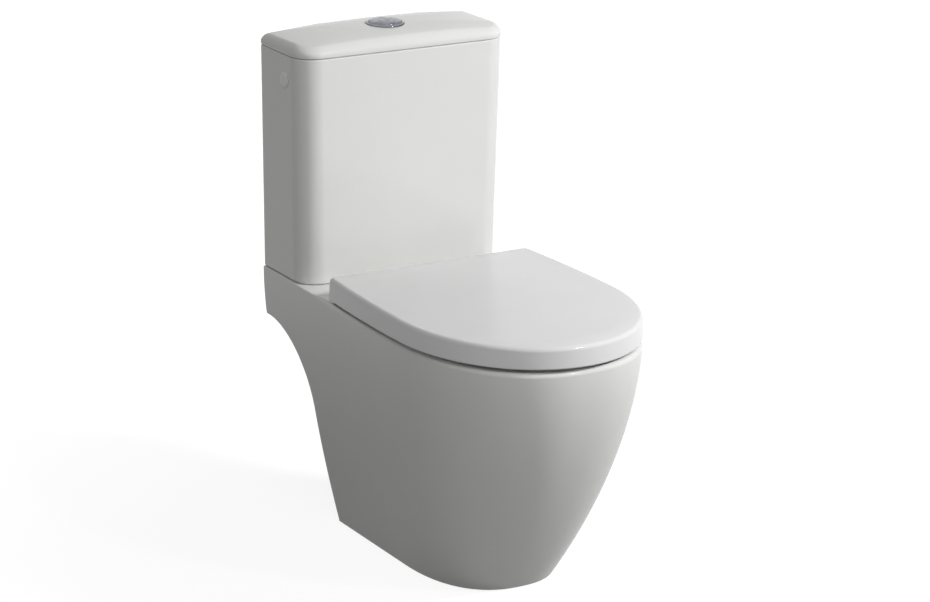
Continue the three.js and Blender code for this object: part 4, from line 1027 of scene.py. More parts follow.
@dataclass
class Cistern:
    """The tank and its lid."""

    half_width: float = 180.0  # half width at the top
    taper: float = 6.5  # how much less at the bottom, each side
    depth: float = 137.0  # rear to front
    front_corner: float = 37.0  # radius of the upright corners at the front
    rear_corner: float = 9.0  # radius of those at the rear
    least_corner: float = 2.0  # smallest radius of an upright corner inside
    wall: float = 9.0  # thickness of the walls
    floor: float = 12.0  # thickness of the floor
    foot_edge: float = 3.6  # rounding of the bottom edge
    top_edge: float = 2.2  # rounding of the top edge
    room_corner: float = 9.0  # rounding along the floor inside
    outlet: float = 29.0  # radius of the hole for the flush valve
    inlet: float = 9.5  # radius of the holes for the water inlet, one on each side
    overhang: float = 0.5  # how far the lid stands out over the tank
    lid_gap: float = 0.3  # gap under the lid's edge
    lid_height: float = 27.0
    lid_edge: float = 2.4  # rounding of the lid's lower edge
    shoulder: float = 12.0  # width of the lid's shoulder
    shoulder_sweep: float = 80.0  # degrees that the shoulder's rounding turns through
    band: float = 5.0  # height of the lid's upright band
    # how far the lid's top falls to its ends, to its front and to its rear
    crown_drop: Triple = (8.0, 8.3, 5.0)
    crown_powers: Pair = (2.8, 3.0)  # powers of that fall, across and along
    lip_gap: float = 1.5  # gap between the lip under the lid and the walls
    lip_depth: float = 10.0  # how far the lip reaches into the tank
    lip_edge: float = 1.5  # chamfer of the lip
    # from the lip's outside to the lid's room, at its mouth and above the lip
    room_insets: Pair = (5.0, 6.0)
    ceiling: float = 13.0  # from the lid's top to the room under it
    ceiling_corner: Pair = (8.0, 6.0)  # width and height of the rounding there
    button_seat: float = 2.0  # depth of the flat that the button's bezel stands on
    # what the bezel's radius gains round that flat, and loses for the hole in it
    button_gaps: Pair = (1.5, 0.5)

    def __post_init__(self) -> None:
        """Takes the heights from the frame."""
        place = Place("cistern")
        self.bottom, self.top = place.low.z, place.high.z
        self.lid_bottom = self.top + self.lid_gap
        self.lid_top = self.lid_bottom + self.lid_height
        self.middle = -self.depth / 2

    def outline(self, inset: float, wider: float = 0.0, overhang: float = 0.0) -> np.ndarray:
        """Tank or lid in plan.

        Args:
            inset: How far it is drawn in.
            wider: What each side gains.
            overhang: What the front and the corners gain.

        Returns:
            The closed outline.
        """
        return box_outline(
            self.half_width + wider - inset,
            -inset,
            -self.depth - overhang + inset,
            max(self.rear_corner + overhang - inset, self.least_corner),
            max(self.front_corner + overhang - inset, self.least_corner),
        )

    def ring(self, height: float, inset: float) -> np.ndarray:
        """The tank's outline at a height."""
        share = (height - self.bottom) / (self.top - self.bottom)
        return lift(self.outline(inset, -self.taper * (1 - share)), height)

    def lid_outline(self, inset: float) -> np.ndarray:
        """The lid in plan."""
        return self.outline(inset, self.overhang, self.overhang)

    def crown(self, points: np.ndarray) -> np.ndarray:
        """Height of the lid's domed top."""
        across = np.abs(points[:, 0] / self.half_width)
        along = (points[:, 1] - self.middle) / self.middle
        (ends, front, rear), (wide, deep) = self.crown_drop, self.crown_powers
        return self.lid_top - ends * across**wide - np.where(along > 0, front, rear) * np.abs(along) ** deep

    def tank(self) -> Piece:
        """Builds the tank."""
        floor = self.bottom + self.floor
        rings = [self.ring(self.bottom + rise, inset) for rise, inset in fillet(self.foot_edge, 5)]
        rings += [self.ring(h, 0) for h in np.linspace(self.bottom + self.floor, self.top - self.floor, 9)]
        rings += [self.ring(self.top - drop, inset) for inset, drop in fillet(self.top_edge, 4)]
        room = [self.ring(floor + rise, self.wall + inset) for rise, inset in fillet(self.room_corner, 6)]
        room.append(lift(self.outline(self.wall), self.top + PAST))
        steps = [(Step.CUT, Shell.loft(room))]
        bolts = [(BOLT_HOLE, x, self.middle) for x in (BOLT_X, -BOLT_X)]
        for radius, x, y in ((self.outlet, 0, VALVE_Y), *bolts):
            steps.append((Step.CUT, bar(radius, self.bottom - PAST, floor + PAST).moved(x, y)))
        _, y, z = Place("blanking_plug").middle
        for _, side in SIDES:
            steps.append((Step.CUT, bar(self.inlet, -30, 30).along_x().moved(side * self.half_width, y, z)))
        return built("cistern_china", Shell.loft(rings), steps)

    def lid(self) -> Piece:
        """Builds the lid."""
        last, low = math.radians(self.shoulder_sweep), self.lid_bottom + self.band
        foot = fillet(self.lid_edge, 4)
        rings = [lift(self.lid_outline(inset), self.lid_bottom + rise) for rise, inset in foot]
        for turn in np.linspace(0, last, 12):
            ring = self.lid_outline(self.shoulder * (1 - math.cos(turn)) / (1 - math.cos(last)))
            rings.append(lift(ring, low + (self.crown(ring) - low) * math.sin(turn) / math.sin(last)))
        for ring in shrinking(self.lid_outline(self.shoulder), self.middle, 16):
            rings.append(lift(ring, self.crown(ring)))

        inset, lip_bottom, edge = self.wall + self.lip_gap, self.top - self.lip_depth, self.lip_edge
        lip = [(inset + edge, lip_bottom), (inset, lip_bottom + edge), (inset, self.lid_bottom + 2)]
        (mouth, room_inset), (wide, tall) = self.room_insets, self.ceiling_corner
        ceiling = self.lid_top - self.ceiling
        room = [(inset + mouth, lip_bottom - 1)]
        room += [(inset + room_inset + wide * across, ceiling - tall * up) for across, up in fillet(1, 5)]
        outer, (gain, loss), above = Place("button_bezel").half, self.button_gaps, self.lid_top + 9
        seat = bar(outer + gain, self.lid_top - self.button_seat, above, sides=80)
        steps = [
            (Step.JOIN, Shell.loft([lift(self.outline(inset), height) for inset, height in lip])),
            (Step.CUT, Shell.loft([lift(self.outline(inset), height) for inset, height in room])),
            (Step.CUT, bar(outer - loss, ceiling - 60, above, sides=80).moved(y=self.middle)),
            (Step.CUT, seat.moved(y=self.middle)),
        ]
        return built("cistern_lid_china", Shell.loft(rings), steps)


# ---- Seat ----


@dataclass
class Seat:
    """The seat ring and the lid over it."""

    rear: float = -209.0  # Y of the lid's rear edge
    rear_half: float = 175.4  # half width there
    rear_corner: float = 11.5  # radius of the rear corners
    least_corner: float = 6.0  # smallest radius of the rear corners inside
    front: float = -665.0  # Y of the front
    nose: float = 227.3  # length of the rounded front
    blunt: float = 2.05  # power of the front in plan
    half_width: float = 185.2
    gap: float = 5.0  # skirt edge above the rim at the front
    skirt_fall: float = 2.0  # how much lower the skirt's edge is at the rear
    height: float = 32.6  # skirt edge to the lid's top edge
    crown_rise: float = 5.0  # how far the lid's middle rises
    crown_power: float = 1.4  # power of that rise
    wall: float = 5.0  # thickness of the lid
    draft: float = 1.0  # how far the lid's sides lean in up to its top edge
    edge: float = 7.2  # rounding of the lid's top edge
    lip: float = 2.4  # rounding of the lid's lower edge
    room_corner: float = 4.0  # rounding along the lid's top inside
    ring_bottom: float = 7.0  # ring above the rim
    ring_height: float = 18.0  # thickness of the ring
    ring_inset: float = 2.5  # from the inside of the lid's skirt to the ring
    ring_edges: Pair = (3.0, 6.0)  # roundings of the ring's lower and upper edge
    opening: float = 110.0  # half width of the ring's opening
    # Y of the opening's rear and of its widest place from the ring's rear, and of its front from the lid's
    opening_ends: Triple = (-52.0, -200.0, 64.0)
    opening_edges: Pair = (3.0, 7.0)  # roundings of the opening's lower and upper edge
    opening_power: float = 2.1  # power of the opening in plan
    barrel: float = 7.5  # radius of the hinge's round parts
    post_half: float = 10.0  # half width of a hinge post
    ear_width: float = 9.0  # width of an ear
    pin: float = 3.0  # radius of a hinge pin
    # depth of the pocket over a hinge post, so that the lid clears the post when it is open
    relief: float = 0.8

    def __post_init__(self) -> None:
        """Works out the places that several parts share."""
        self.nose_y = self.front + self.nose
        self.lid_top = RIM + self.gap + self.height
        self.inside_top = self.lid_top - self.wall
        self.ring_rear = HINGE.y - self.barrel - 5
        post = Place("hinge_post_right")
        self.post_x = (post.low.x + post.high.x) / 2
        self.ear_reach = self.post_half + 0.5 + self.ear_width / 2

    def outline(self, inset: float, rear: float | None = None) -> np.ndarray:
        """The seat in plan, drawn in by an inset."""
        return d_outline(
            rear=self.rear - inset if rear is None else rear,
            rear_half=self.rear_half - inset,
            corner=max(self.rear_corner - inset, self.least_corner),
            start=self.nose_y,
            half=self.half_width - inset,
            front=self.front + inset,
            power=self.blunt,
        )

    def skirt(self, points: np.ndarray) -> np.ndarray:
        """Height of the lid's lower edge, which rises from the hinges to the front."""
        share = np.clip((points[:, 1] - self.nose_y) / (self.rear - self.nose_y), 0, 1)
        return RIM + self.gap - self.skirt_fall * share

    def crown(self, points: np.ndarray) -> np.ndarray:
        """Height of the lid's slightly domed top."""
        reach = (points[:, 1] - self.front) / (self.rear - self.front) - 0.5
        spread = points[:, 0] / self.half_width
        dome = np.clip(1 - spread**2 - 2 * reach**2, 0, 1)
        return self.lid_top + self.crown_rise * dome**self.crown_power

    def ear(self, x: float, forward: float, bottom: float, top: float) -> Steps:
        """A hinge ear: its round end, the arm that carries it and the hole for the pin.

        Args:
            x: X of its middle.
            forward: Y that the arm reaches to.
            bottom: Height of the arm's underside.
            top: Height of the arm's upper side.

        Returns:
            The steps that add it.
        """
        half = self.ear_width / 2
        return [
            (Step.JOIN, axle(self.barrel, half, x, 0.8)),
            (Step.JOIN, block((x - half + 0.2, forward, bottom), (x + half - 0.2, HINGE.y, top))),
            (Step.CUT, axle(self.pin + FIT, self.ear_width, x, sides=32)),
        ]

    def lid(self) -> Piece:
        """Builds the lid."""
        rings = []
        for rise, inset in fillet(self.lip, 6):
            ring = self.outline(inset)
            rings.append(lift(ring, self.skirt(ring) + rise))
        rings.append(lift(self.outline(self.draft / 2), RIM + self.gap + self.height / 2))
        for inset, drop in fillet(self.edge, 9):
            rings.append(lift(self.outline(self.draft + inset), self.lid_top - drop))
        for ring in shrinking(self.outline(self.draft + self.edge), (self.front + self.rear) / 2, 20):
            rings.append(lift(ring, self.crown(ring)))

        room = [lift(self.outline(self.wall - 0.4), RIM - PAST), lift(self.outline(self.wall), RIM + 9)]
        for inset, drop in fillet(self.room_corner, 6):
            room.append(lift(self.outline(self.wall + inset), self.inside_top - drop))
        reach, low, behind, beside = HINGE.z - RIM - 1, RIM - 2 * PAST, HINGE.y + 60, 200
        sweep = [(HINGE.y, low), (behind, low), (behind, HINGE.z)]
        for angle in np.linspace(0, -math.pi / 2, 16):
            sweep.append((HINGE.y + reach * math.cos(angle), HINGE.z + reach * math.sin(angle)))
        rear = Shell.loft([np.array([(x, y, z) for y, z in sweep]) for x in (-beside, beside)])
        steps = [(Step.CUT, Shell.loft(room)), (Step.CUT, rear)]
        for _, side in SIDES:
            post, inner = side * self.post_x, self.post_half + self.ear_width + 1.5
            window = (post + inner, self.rear + 5, self.inside_top + self.relief)
            steps.append((Step.CUT, block((post - inner, HINGE.y + self.barrel, low), window)))
            x = side * (self.post_x - self.ear_reach)
            steps += self.ear(x, HINGE.y - 9, HINGE.z, self.inside_top + 1)
        return built("seat_lid_duroplast", Shell.loft(rings), steps)

    def hole(self, extra: float) -> np.ndarray:
        """The ring's opening in plan, grown by an offset."""
        rear, middle, front = self.opening_ends
        half, rear, middle = self.opening + extra, self.ring_rear + rear + extra, self.ring_rear + middle
        return egg_outline(half, rear, middle, self.front + front - extra, self.opening_power)

    def ring(self) -> Piece:
        """Builds the ring."""
        bottom, top = RIM + self.ring_bottom, RIM + self.ring_bottom + self.ring_height
        (under, over), (lower, upper) = self.ring_edges, self.opening_edges
        levels = [(inset, bottom + rise) for rise, inset in fillet(under, 5)]
        levels += [(inset, top - drop) for inset, drop in fillet(over, 8)]
        rings = [
            lift(self.outline(self.wall + self.ring_inset + inset, self.ring_rear - inset), height)
            for inset, height in levels
        ]
        hole = [lift(self.hole(widening), bottom + depth) for depth, widening in crossing(lower, 6)[::-1]]
        hole += [lift(self.hole(widening), top - depth) for depth, widening in crossing(upper, 6)]
        steps = [(Step.CUT, Shell.loft(hole))]
        for _, side in SIDES:
            x = side * (self.post_x + self.ear_reach)
            steps += self.ear(x, self.ring_rear - 12, bottom + 2, top)
        return built("seat_ring_duroplast", Shell.loft(rings), steps)

    def pad(self, node: str) -> Piece:
        """A bumper with a soft edge, as big as its CAD node."""
        place = Place(node)
        shape = bar(place.half, place.low.z, place.high.z, min(1.8, place.tall / 3), 40)
        return built(f"{node}_rubber", shape, x=place.middle.x, y=place.middle.y)


# ---- Buttons ----


@dataclass
class Button:
    """The dual flush button: a bezel with its threaded cup, two domed halves and their springs."""

    coils: Recipe  # the recipe for springs and for a thread's ridge
    ribs: Recipe  # the recipe for the nut's grip
    radius: float = 24.5  # radius of the two halves together
    rim: float = 3.8  # width of the bezel round them
    cup: float = 2.0  # what the cup's outer radius adds to theirs
    bezel_height: float = 5.0
    bottom: float = 2.0  # thickness of the cup's bottom
    pitch: float = 2.0  # pitch of the cup's thread
    ridge: float = 0.65  # radius of the thread's ridge
    rod_hole: float = 3.3  # radius of the holes for the push rods
    split: float = 0.6  # gap between the halves
    dome: float = 3.2  # rise of the halves above the bezel
    edge: float = 1.6  # rounding of the halves' rim
    wire: float = 0.8  # radius of the spring wire
    spring: float = 5.0  # outer radius of a spring
    turns: float = 4.0  # turns of a spring
    rib: float = 0.85  # radius of the nut's ribs

    def __post_init__(self) -> None:
        """Takes the heights and the axis from the frame."""
        place = Place("button_bezel")
        self.y = (place.low.y + place.high.y) / 2
        self.cup_bottom, self.top = place.low.z, place.high.z
        self.seat = self.top - self.bezel_height
        self.under = Place("push_rod_full").high.z + FIT

    def bezel(self) -> Piece:
        """Builds the bezel: a dished ring over a cup with a thread on it."""
        r, cup, rim = self.radius, self.radius + self.cup, self.radius + self.rim
        low, seat, top = self.cup_bottom, self.seat + FIT, self.top
        inside = low + self.bottom
        line = [(0, low), (cup, low, 0.6), (cup, seat, 0), (rim, seat, 0.4), (rim, top - 2.2, 1.2)]
        line += [(rim - 1.6, top - 0.1, 0.8), (r + 1.4, top, 0.5), (r + 0.6, top - 1.1, 0.4)]
        line += [(r + 0.6, inside, 1), (0, inside)]
        height = seat - low - 4
        ridge = self.coils.run(
            Turns=height / self.pitch, Coil=cup - 0.1, Height=height, Radius=self.ridge, Sides=6, Segments=72
        )
        steps = [(Step.JOIN, ridge.moved(z=low + 1.5))]
        for node in ("push_rod_full", "push_rod_half"):
            x, y, _ = Place(node).middle
            steps.append((Step.CUT, bar(self.rod_hole, low - PAST, low + 8, sides=32).moved(x, y - self.y)))
        return built("button_bezel_plated", Shell.turned(rounded(line, 4), 96), steps, CRISP, y=self.y)

    def half(self, word: str, side: int) -> Piece:
        """Builds one half of the round button.

        Args:
            word: Which flush it gives.
            side: The side of the split that it lies on.

        Returns:
            The finished mesh.
        """
        r, top, far = self.radius, self.top, self.radius + 6
        line = [(0, self.under), (r, self.under), (r, top - 0.9, 0), (r, top + 0.5, self.edge)]
        line += [(r - 3.2, top + 1.9, 6), (r * 0.5, top + self.dome - 0.35, 20), (0, top + self.dome)]
        low_x, high_x = sorted((side * self.split / 2, side * -far))
        away = block((low_x, -far, self.under - 20), (high_x, far, top + 20))
        x, y, _ = Place(f"button_spring_{word}").middle
        stub = bar(self.spring - 2.2, self.under - PAST, self.under + 1, 0.6, 32).moved(x, y - self.y)
        steps = [(Step.CUT, away), (Step.JOIN, stub)]
        return built(f"button_{word}_plated", Shell.turned(rounded(line, 6), 96), steps, CRISP, y=self.y)

    def coil(self, word: str) -> Piece:
        """Builds a spring."""
        place = Place(f"button_spring_{word}")
        (x, y, _), height = place.middle, place.tall - 2 * self.wire
        centre = self.spring - self.wire
        shape = self.coils.run(
            Turns=self.turns, Coil=centre, Height=height, Radius=self.wire, Sides=12, Segments=32
        )
        return built(f"button_spring_{word}_steel", shape.moved(x, y, place.low.z + self.wire), sharp=60)

    def nut(self) -> Piece:
        """Builds the ribbed nut under the lid."""
        place = Place("button_nut")
        low, outer = place.low.z, place.half
        ring = collar(self.radius + 2.9, outer - 0.6, low, place.high.z, 0.5)
        size = {"Circle": outer - self.rib - 0.05, "Height": place.tall - 1.2, "Radius": self.rib}
        grip = self.ribs.run(Bottom=low + 0.6, Ribs=48, Sides=10, **size)
        return built("button_nut_acetal", ring, [(Step.JOIN, grip)], CRISP, y=self.y)


# ---- Hinges, bolts and nuts ----


@dataclass(frozen=True)
class Kit:
    """A bolt with its washer and its wing nut."""

    bolt: str  # start of the bolt's name
    washer: str  # start of the washer's name
    nut: str  # start of the wing nut's name
    radius: float  # radius of the bolt's shank
    head: float  # height of its head, or 0 for none
    grip: float  # how much of it is threaded
    bolt_metal: str  # what the bolt is made of
    nut_stuff: str  # what the wing nut is made of


@dataclass
class Fasteners:
    """Hinge posts and everything that is bolted."""

    coils: Recipe  # the recipe for a thread's ridge
    pitch: float = 1.5  # pitch of the threads
    ridge: float = 0.44  # radius of a thread's ridge
    post_hole: float = 3.3  # radius of the holes in a hinge post
    thread_depth: float = 0.5  # how much thinner a bolt is under its thread
    slot: Pair = (1.6, 1.6)  # width and depth of the slot in a bolt's head
    wing: float = 1.5  # half the thickness of a nut's wings
    # the bolts with their washers and nuts
    kits: tuple[Kit, ...] = (
        Kit("hinge_bolt", "hinge_gasket", "hinge_wing_nut", 3.0, 0.0, 26, "steel", "acetal"),
        Kit("cistern_bolt", "cistern_bolt_washer", "cistern_wing_nut", 4.0, 4.0, 30, "brass", "brass"),
    )

    def one_side(self, word: str) -> list[Piece]:
        """Builds everything on the side that the word names."""
        made = [self.post(word), self.pin(word)]
        for kit in self.kits:
            made += [self.bolt(kit, word), self.washer(kit, word), self.wing_nut(kit, word)]
        return made

    def post(self, word: str) -> Piece:
        """Builds a hinge post: a barrel over a foot with soft edges."""
        name = f"hinge_post_{word}"
        place = Place(name)
        low, high, half, x = place.low, place.high, place.half, (place.low.x + place.high.x) / 2
        steps = [
            (Step.JOIN, rounded_block(low, (high.x, high.y, HINGE.z), 2.0, 0.3)),
            (Step.CUT, axle(self.post_hole, half + PAST, x, sides=40)),
            (Step.CUT, bar(self.post_hole, RIM - PAST, RIM + 9, sides=32).moved(x, HINGE.y)),
        ]
        return built(f"{name}_plated", axle(high.z - HINGE.z, half, x, 1.2, 64), steps, CRISP)

    def pin(self, word: str) -> Piece:
        """Builds a hinge pin with rounded ends."""
        name = f"hinge_pin_{word}"
        place = Place(name)
        shape = bar(place.tall / 2, place.low.x, place.high.x, 0.5, 40).along_x()
        return built(f"{name}_steel", shape.moved(0, HINGE.y, HINGE.z), sharp=CRISP)

    def bolt(self, kit: Kit, word: str) -> Piece:
        """Builds an upright bolt with a thread at its lower end.

        Args:
            kit: The bolt's measures.
            word: Its side.

        Returns:
            The finished mesh.
        """
        name, radius = f"{kit.bolt}_{word}", kit.radius
        place = Place(name)
        low, high, wide, core = place.low.z, place.high.z, place.half, radius - self.thread_depth
        line = [(0, low), (core, low, 0.4), (core, low + kit.grip), (radius, low + kit.grip + 0.6)]
        ridge = self.coils.run(
            Turns=(kit.grip - 1) / self.pitch,
            Coil=radius - self.ridge - 0.01,
            Height=kit.grip - 1,
            Radius=self.ridge,
            Sides=6,
            Segments=28,
        )
        steps = [(Step.JOIN, ridge.moved(z=low + 1))]
        if kit.head:
            neck, (width, depth) = high - kit.head, self.slot
            line += [(radius, neck), (wide, neck, 0.4), (wide, high, 1.6), (0, high)]
            slot = block((-wide - 1, -width / 2, high - depth), (wide + 1, width / 2, high + 1))
            steps.append((Step.CUT, slot))
        else:
            line += [(radius, high, 0.5), (0, high)]
        x, y, _ = place.middle
        return built(f"{name}_{kit.bolt_metal}", Shell.turned(rounded(line, 4), 40), steps, CRISP, x, y)

    def wing_nut(self, kit: Kit, word: str) -> Piece:
        """Builds a wing nut with rounded wings.

        Args:
            kit: The measures of its bolt.
            word: Its side.

        Returns:
            The finished mesh.
        """
        name, inner = f"{kit.nut}_{word}", kit.radius + FIT
        place = Place(name)
        low, high = place.low.z, place.high.z
        line = [(inner, high - 3), (inner, low + 4, 0.3), (inner + 3.2, low + 4, 1)]
        line += [(inner + 4, high, 0.6), (inner, high, 0.3), (inner, high - 3)]
        wing = rounded_block((-self.wing, inner + 2.4, low), (self.wing, place.half, high - 2), 1.3, 1.2)
        x, y, z = wing.corners.T
        steps = [(Step.JOIN, Shell(np.column_stack([s * y, -s * x, z]), wing.faces)) for _, s in SIDES]
        hub = Shell.turned(rounded(line, 4)[:-1], 48)
        x, y, _ = place.middle
        return built(f"{name}_{kit.nut_stuff}", hub, steps, CRISP, x, y)

    def washer(self, kit: Kit, word: str) -> Piece:
        """Builds a flat ring with soft rims, as big as its CAD node."""
        name = f"{kit.washer}_{word}"
        place = Place(name)
        edge = min(0.8, place.tall / 3)
        shape = collar(kit.radius + FIT, place.half, place.low.z, place.high.z, edge)
        return built(f"{name}_rubber", shape, None, CRISP, place.middle.x, place.middle.y)


# ---- Valve parts, finished from their CAD nodes ----


VALVE_NODES = (
    "push_rod_full",
    "push_rod_half",
    "flush_valve_washer",
    "flush_valve_base",
    "outlet_back_nut",
    "coupling_gasket",
    "flush_valve_cage",
    "rocker_axle",
    "rocker_full",
    "rocker_half",
    "overflow_tube",
    "flush_seal",
    "fill_valve_body",
    "fill_float",
    "float_arm",
    "float_arm_pin",
    "inlet_washer",
    "inlet_lock_nut",
    "blanking_plug_nut",
)
MOULD_EDGE = 0.4  # rounding of a moulded part's edges
MOULD_ANGLE = 40.0  # degrees above which two faces of it meet in an edge


def eased(node: str) -> Piece:
    """A copy of a CAD node with its edges rounded, as they leave the mould."""
    name = f"{node}_moulded"
    copied = linked(name + "_rough", frame["nodes"][node].data.copy())
    copied.data.materials.clear()
    copied.modifiers.new("weld", "WELD").merge_threshold = 1e-6
    ease = copied.modifiers.new("ease", "BEVEL")
    ease.width, ease.segments = MOULD_EDGE * MM, 2
    ease.limit_method, ease.angle_limit = "ANGLE", math.radians(MOULD_ANGLE)
    ease.use_clamp_overlap = True
    return smoothed(baked(name, copied), MOULD_ANGLE)


def plug() -> Piece:
    """Builds the plug of the unused inlet hole: a low domed cap on a stem."""
    place = Place("blanking_plug")
    radius, stem, low = (place.high.y - place.low.y) / 2, 8.3, place.low.x
    seat = low + 1.8
    line = [(0, low), (radius - 2.5, low + 0.25, 8), (radius, low + 1.1, 0.6), (radius, seat, 0.1)]
    line += [(stem, seat, 0), (stem, place.high.x, 0.8), (0, place.high.x)]
    _, y, z = place.middle
    cap = Shell.turned(rounded(line, 6), 72).along_x()
    return built("blanking_plug_rubber", cap.moved(0, y, z), sharp=50)


# ---- Studio ----


@dataclass(frozen=True)
class Softbox:
    """A soft rectangular lamp that looks at the toilet."""

    name: str
    azimuth: float  # bearing from the toilet in degrees; 0 is in front and positive is to the right
    elevation: float  # degrees above the horizon
    distance: float  # metres from the middle of the toilet
    size: Pair  # width and height in metres
    watts: float
    glints: bool = False  # whether glaze and metal mirror it


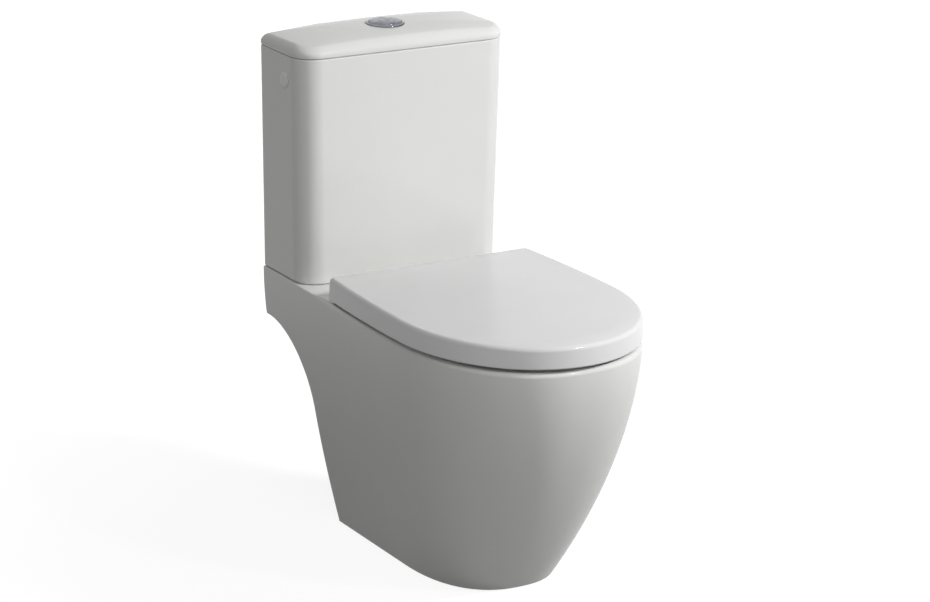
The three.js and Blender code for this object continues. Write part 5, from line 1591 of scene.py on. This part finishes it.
@dataclass
class Studio:
    """Floor, world, lamps and camera."""

    aim: Triple = (0.0076, 0.0259, 0.3905)  # where the camera looks, in metres
    azimuth: float = -30.87  # bearing of the camera in degrees
    elevation: float = 17.44  # height of the camera in degrees
    distance: float = 5.168  # metres from the aim to the camera
    roll: float = -1.01  # tilt of the camera in degrees
    lens: float = 133.79  # focal length in millimetres
    sensor: float = 36.0  # width of the camera's sensor in millimetres
    fill: float = 0.1  # strength of the world's light on surfaces
    floor_half: float = 30.0  # metres from the middle of the floor to its edges
    floor_drop: float = 0.0005  # metres from the toilet's foot down to the floor
    floor_paint: str = "#8f8f8f"  # colour of the floor as sRGB hex
    # what the floor adds to its lit colour close to the toilet; further off it is white
    floor_lift: float = 0.86
    # the same where glaze and metal mirror the floor, lower as painted shade for the floor lying in the
    # toilet's own shade
    mirrored_lift: float = 0.45
    # metres from the middle where the floor starts to turn white, and where it has
    fade: Pair = (0.3, 1.6)
    lamps: tuple[Softbox, ...] = (
        Softbox("key", 50, 33, 3.2, (0.5, 0.5), 80),
        Softbox("glint", 24, 36, 3.2, (0.24, 0.24), 13, True),
        Softbox("front", -45, 60, 3.4, (1.8, 1.6), 21),
        Softbox("low", -30, 10, 3.4, (1.6, 1.0), 16),
        Softbox("rear", 180, 4, 3.4, (1.2, 0.8), 20),
    )

    def build(self) -> None:
        """Builds all of it."""
        self.world()
        self.floor()
        for softbox in self.lamps:
            self.lamp(softbox)
        self.camera()
        bpy.context.scene.view_settings.view_transform = "Standard"

    def looks(self, tree: Tree) -> tuple[Socket, Node]:
        """What is 1 for a ray from the camera, and what is 1 for a ray off a mirror or through glass."""
        rays = add_node(tree, "ShaderNodeLightPath").outputs
        bent = {0: rays["Is Glossy Ray"], 1: rays["Is Transmission Ray"]}
        return rays["Is Camera Ray"], add_node(tree, "ShaderNodeMath", {"operation": "MAXIMUM"}, links=bent)

    def world(self) -> None:
        """White where it is seen, and a plain grey fill on surfaces."""
        world = bpy.data.worlds.new("studio")
        world.use_nodes = True
        tree = world.node_tree
        tree.nodes.clear()
        looks = dict(enumerate(self.looks(tree)))
        seen = add_node(tree, "ShaderNodeMath", {"operation": "MAXIMUM"}, links=looks)
        span = {"To Min": self.fill, "To Max": 1.0}
        strength = add_node(tree, "ShaderNodeMapRange", values=span, links={"Value": seen})
        white = {"Color": linear("#ffffff")}
        light = add_node(tree, "ShaderNodeBackground", values=white, links={"Strength": strength})
        add_node(tree, "ShaderNodeOutputWorld", links={"Surface": light})
        bpy.context.scene.world = world

    def floor(self) -> None:
        """A pale floor that shows white and keeps the shadow."""
        material = bpy.data.materials.new("painted studio floor")
        mesh = bpy.data.meshes.new("floor")
        half = self.floor_half
        sides = ((-half, -half), (half, -half), (half, half), (-half, half))
        mesh.from_pydata([(x, y, -self.floor_drop) for x, y in sides], [], [(0, 1, 2, 3)])
        material.use_nodes = True
        tree = material.node_tree
        tree.nodes.clear()
        paint = add_node(tree, "ShaderNodeBsdfDiffuse", values={"Color": linear(self.floor_paint)})
        place = add_node(tree, "ShaderNodeTexCoord").outputs["Object"]
        away = add_node(tree, "ShaderNodeVectorMath", {"operation": "LENGTH"}, links={0: place})
        parts = []
        # where glaze and metal mirror it, the floor's glow falls further close to the toilet: painted shade
        for rays, low in zip(self.looks(tree), (self.floor_lift, self.mirrored_lift)):
            span = {"From Min": self.fade[0], "From Max": self.fade[1], "To Min": low, "To Max": 1.0}
            smooth = {"interpolation_type": "SMOOTHSTEP"}
            rise = add_node(tree, "ShaderNodeMapRange", smooth, span, {"Value": away.outputs["Value"]})
            share = {0: rays, 1: rise}
            parts.append(add_node(tree, "ShaderNodeMath", {"operation": "MULTIPLY"}, links=share))
        strength = add_node(tree, "ShaderNodeMath", {"operation": "ADD"}, links=dict(enumerate(parts)))
        glow = add_node(tree, "ShaderNodeEmission", links={"Strength": strength})
        both = add_node(tree, "ShaderNodeAddShader", links={0: paint, 1: glow})
        add_node(tree, "ShaderNodeOutputMaterial", links={"Surface": both})
        mesh.materials.append(material)
        linked("floor", mesh)

    def bearing(self, azimuth: float, elevation: float) -> Vector:
        """A direction away from the toilet."""
        a, e = math.radians(azimuth), math.radians(elevation)
        return Vector((math.sin(a) * math.cos(e), -math.cos(a) * math.cos(e), math.sin(e)))

    def lamp(self, softbox: Softbox) -> None:
        """Adds a lamp."""
        light = bpy.data.lights.new(softbox.name, "AREA")
        light.shape, light.energy = "RECTANGLE", softbox.watts
        light.size, light.size_y = softbox.size
        holder = linked(softbox.name, light)
        holder.visible_glossy = softbox.glints
        away = self.bearing(softbox.azimuth, softbox.elevation)
        holder.location = Vector(self.aim) + away * softbox.distance
        holder.rotation_euler = away.to_track_quat("Z", "Y").to_euler()

    def camera(self) -> None:
        """Adds the camera and makes it the scene's."""
        away = self.bearing(self.azimuth, self.elevation)
        right = Vector((0, 0, 1)).cross(away).normalized()
        up, tilt = away.cross(right), math.radians(self.roll)
        level, lean = math.cos(tilt), math.sin(tilt)
        axes = Matrix((right * level - up * lean, right * lean + up * level, away)).transposed()
        data = bpy.data.cameras.new("camera")
        data.lens, data.sensor_width, data.sensor_fit = self.lens, self.sensor, "HORIZONTAL"
        eye = linked("camera", data)
        eye.matrix_world = Matrix.Translation(Vector(self.aim) + away * self.distance) @ axes.to_4x4()
        bpy.context.scene.camera = eye


# ---- The whole toilet ----


def main() -> None:
    """Builds the toilet and the studio around it."""
    logging.basicConfig(level=logging.INFO, format="%(name)s: %(message)s")
    shop = Workshop()
    pipes = pipe_recipe(shop.materials["vitreous_china"])
    coils = coil_recipe(shop.materials["stainless_steel"])
    ribs = ribs_recipe(shop.materials["white_valve_plastic"])

    pan, cistern, seat = Pan().make(pipes), Cistern(), Seat()
    shop.leave_bare(pan, 1.0)
    for piece in (pan, cistern.tank(), cistern.lid(), seat.ring(), seat.lid()):
        shop.hand_over(piece)
    for pads in ("ring_bumper_front", "ring_bumper_rear", "lid_bumper"):
        for word, _ in SIDES:
            shop.hand_over(seat.pad(f"{pads}_{word}"))

    button = Button(coils, ribs)
    shop.hand_over(button.bezel())
    shop.hand_over(button.nut())
    for word, side in (("half", -1), ("full", 1)):
        shop.hand_over(button.half(word, side))
        spring = shop.hand_over(button.coil(word))
        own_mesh(spring)

    fasteners = Fasteners(coils)
    for word, _ in SIDES:
        for piece in fasteners.one_side(word):
            shop.hand_over(piece)
    for node in VALVE_NODES:
        shop.hand_over(eased(node))
    shop.hand_over(plug())

    Studio().build()


if __name__ == "__main__":
    main()
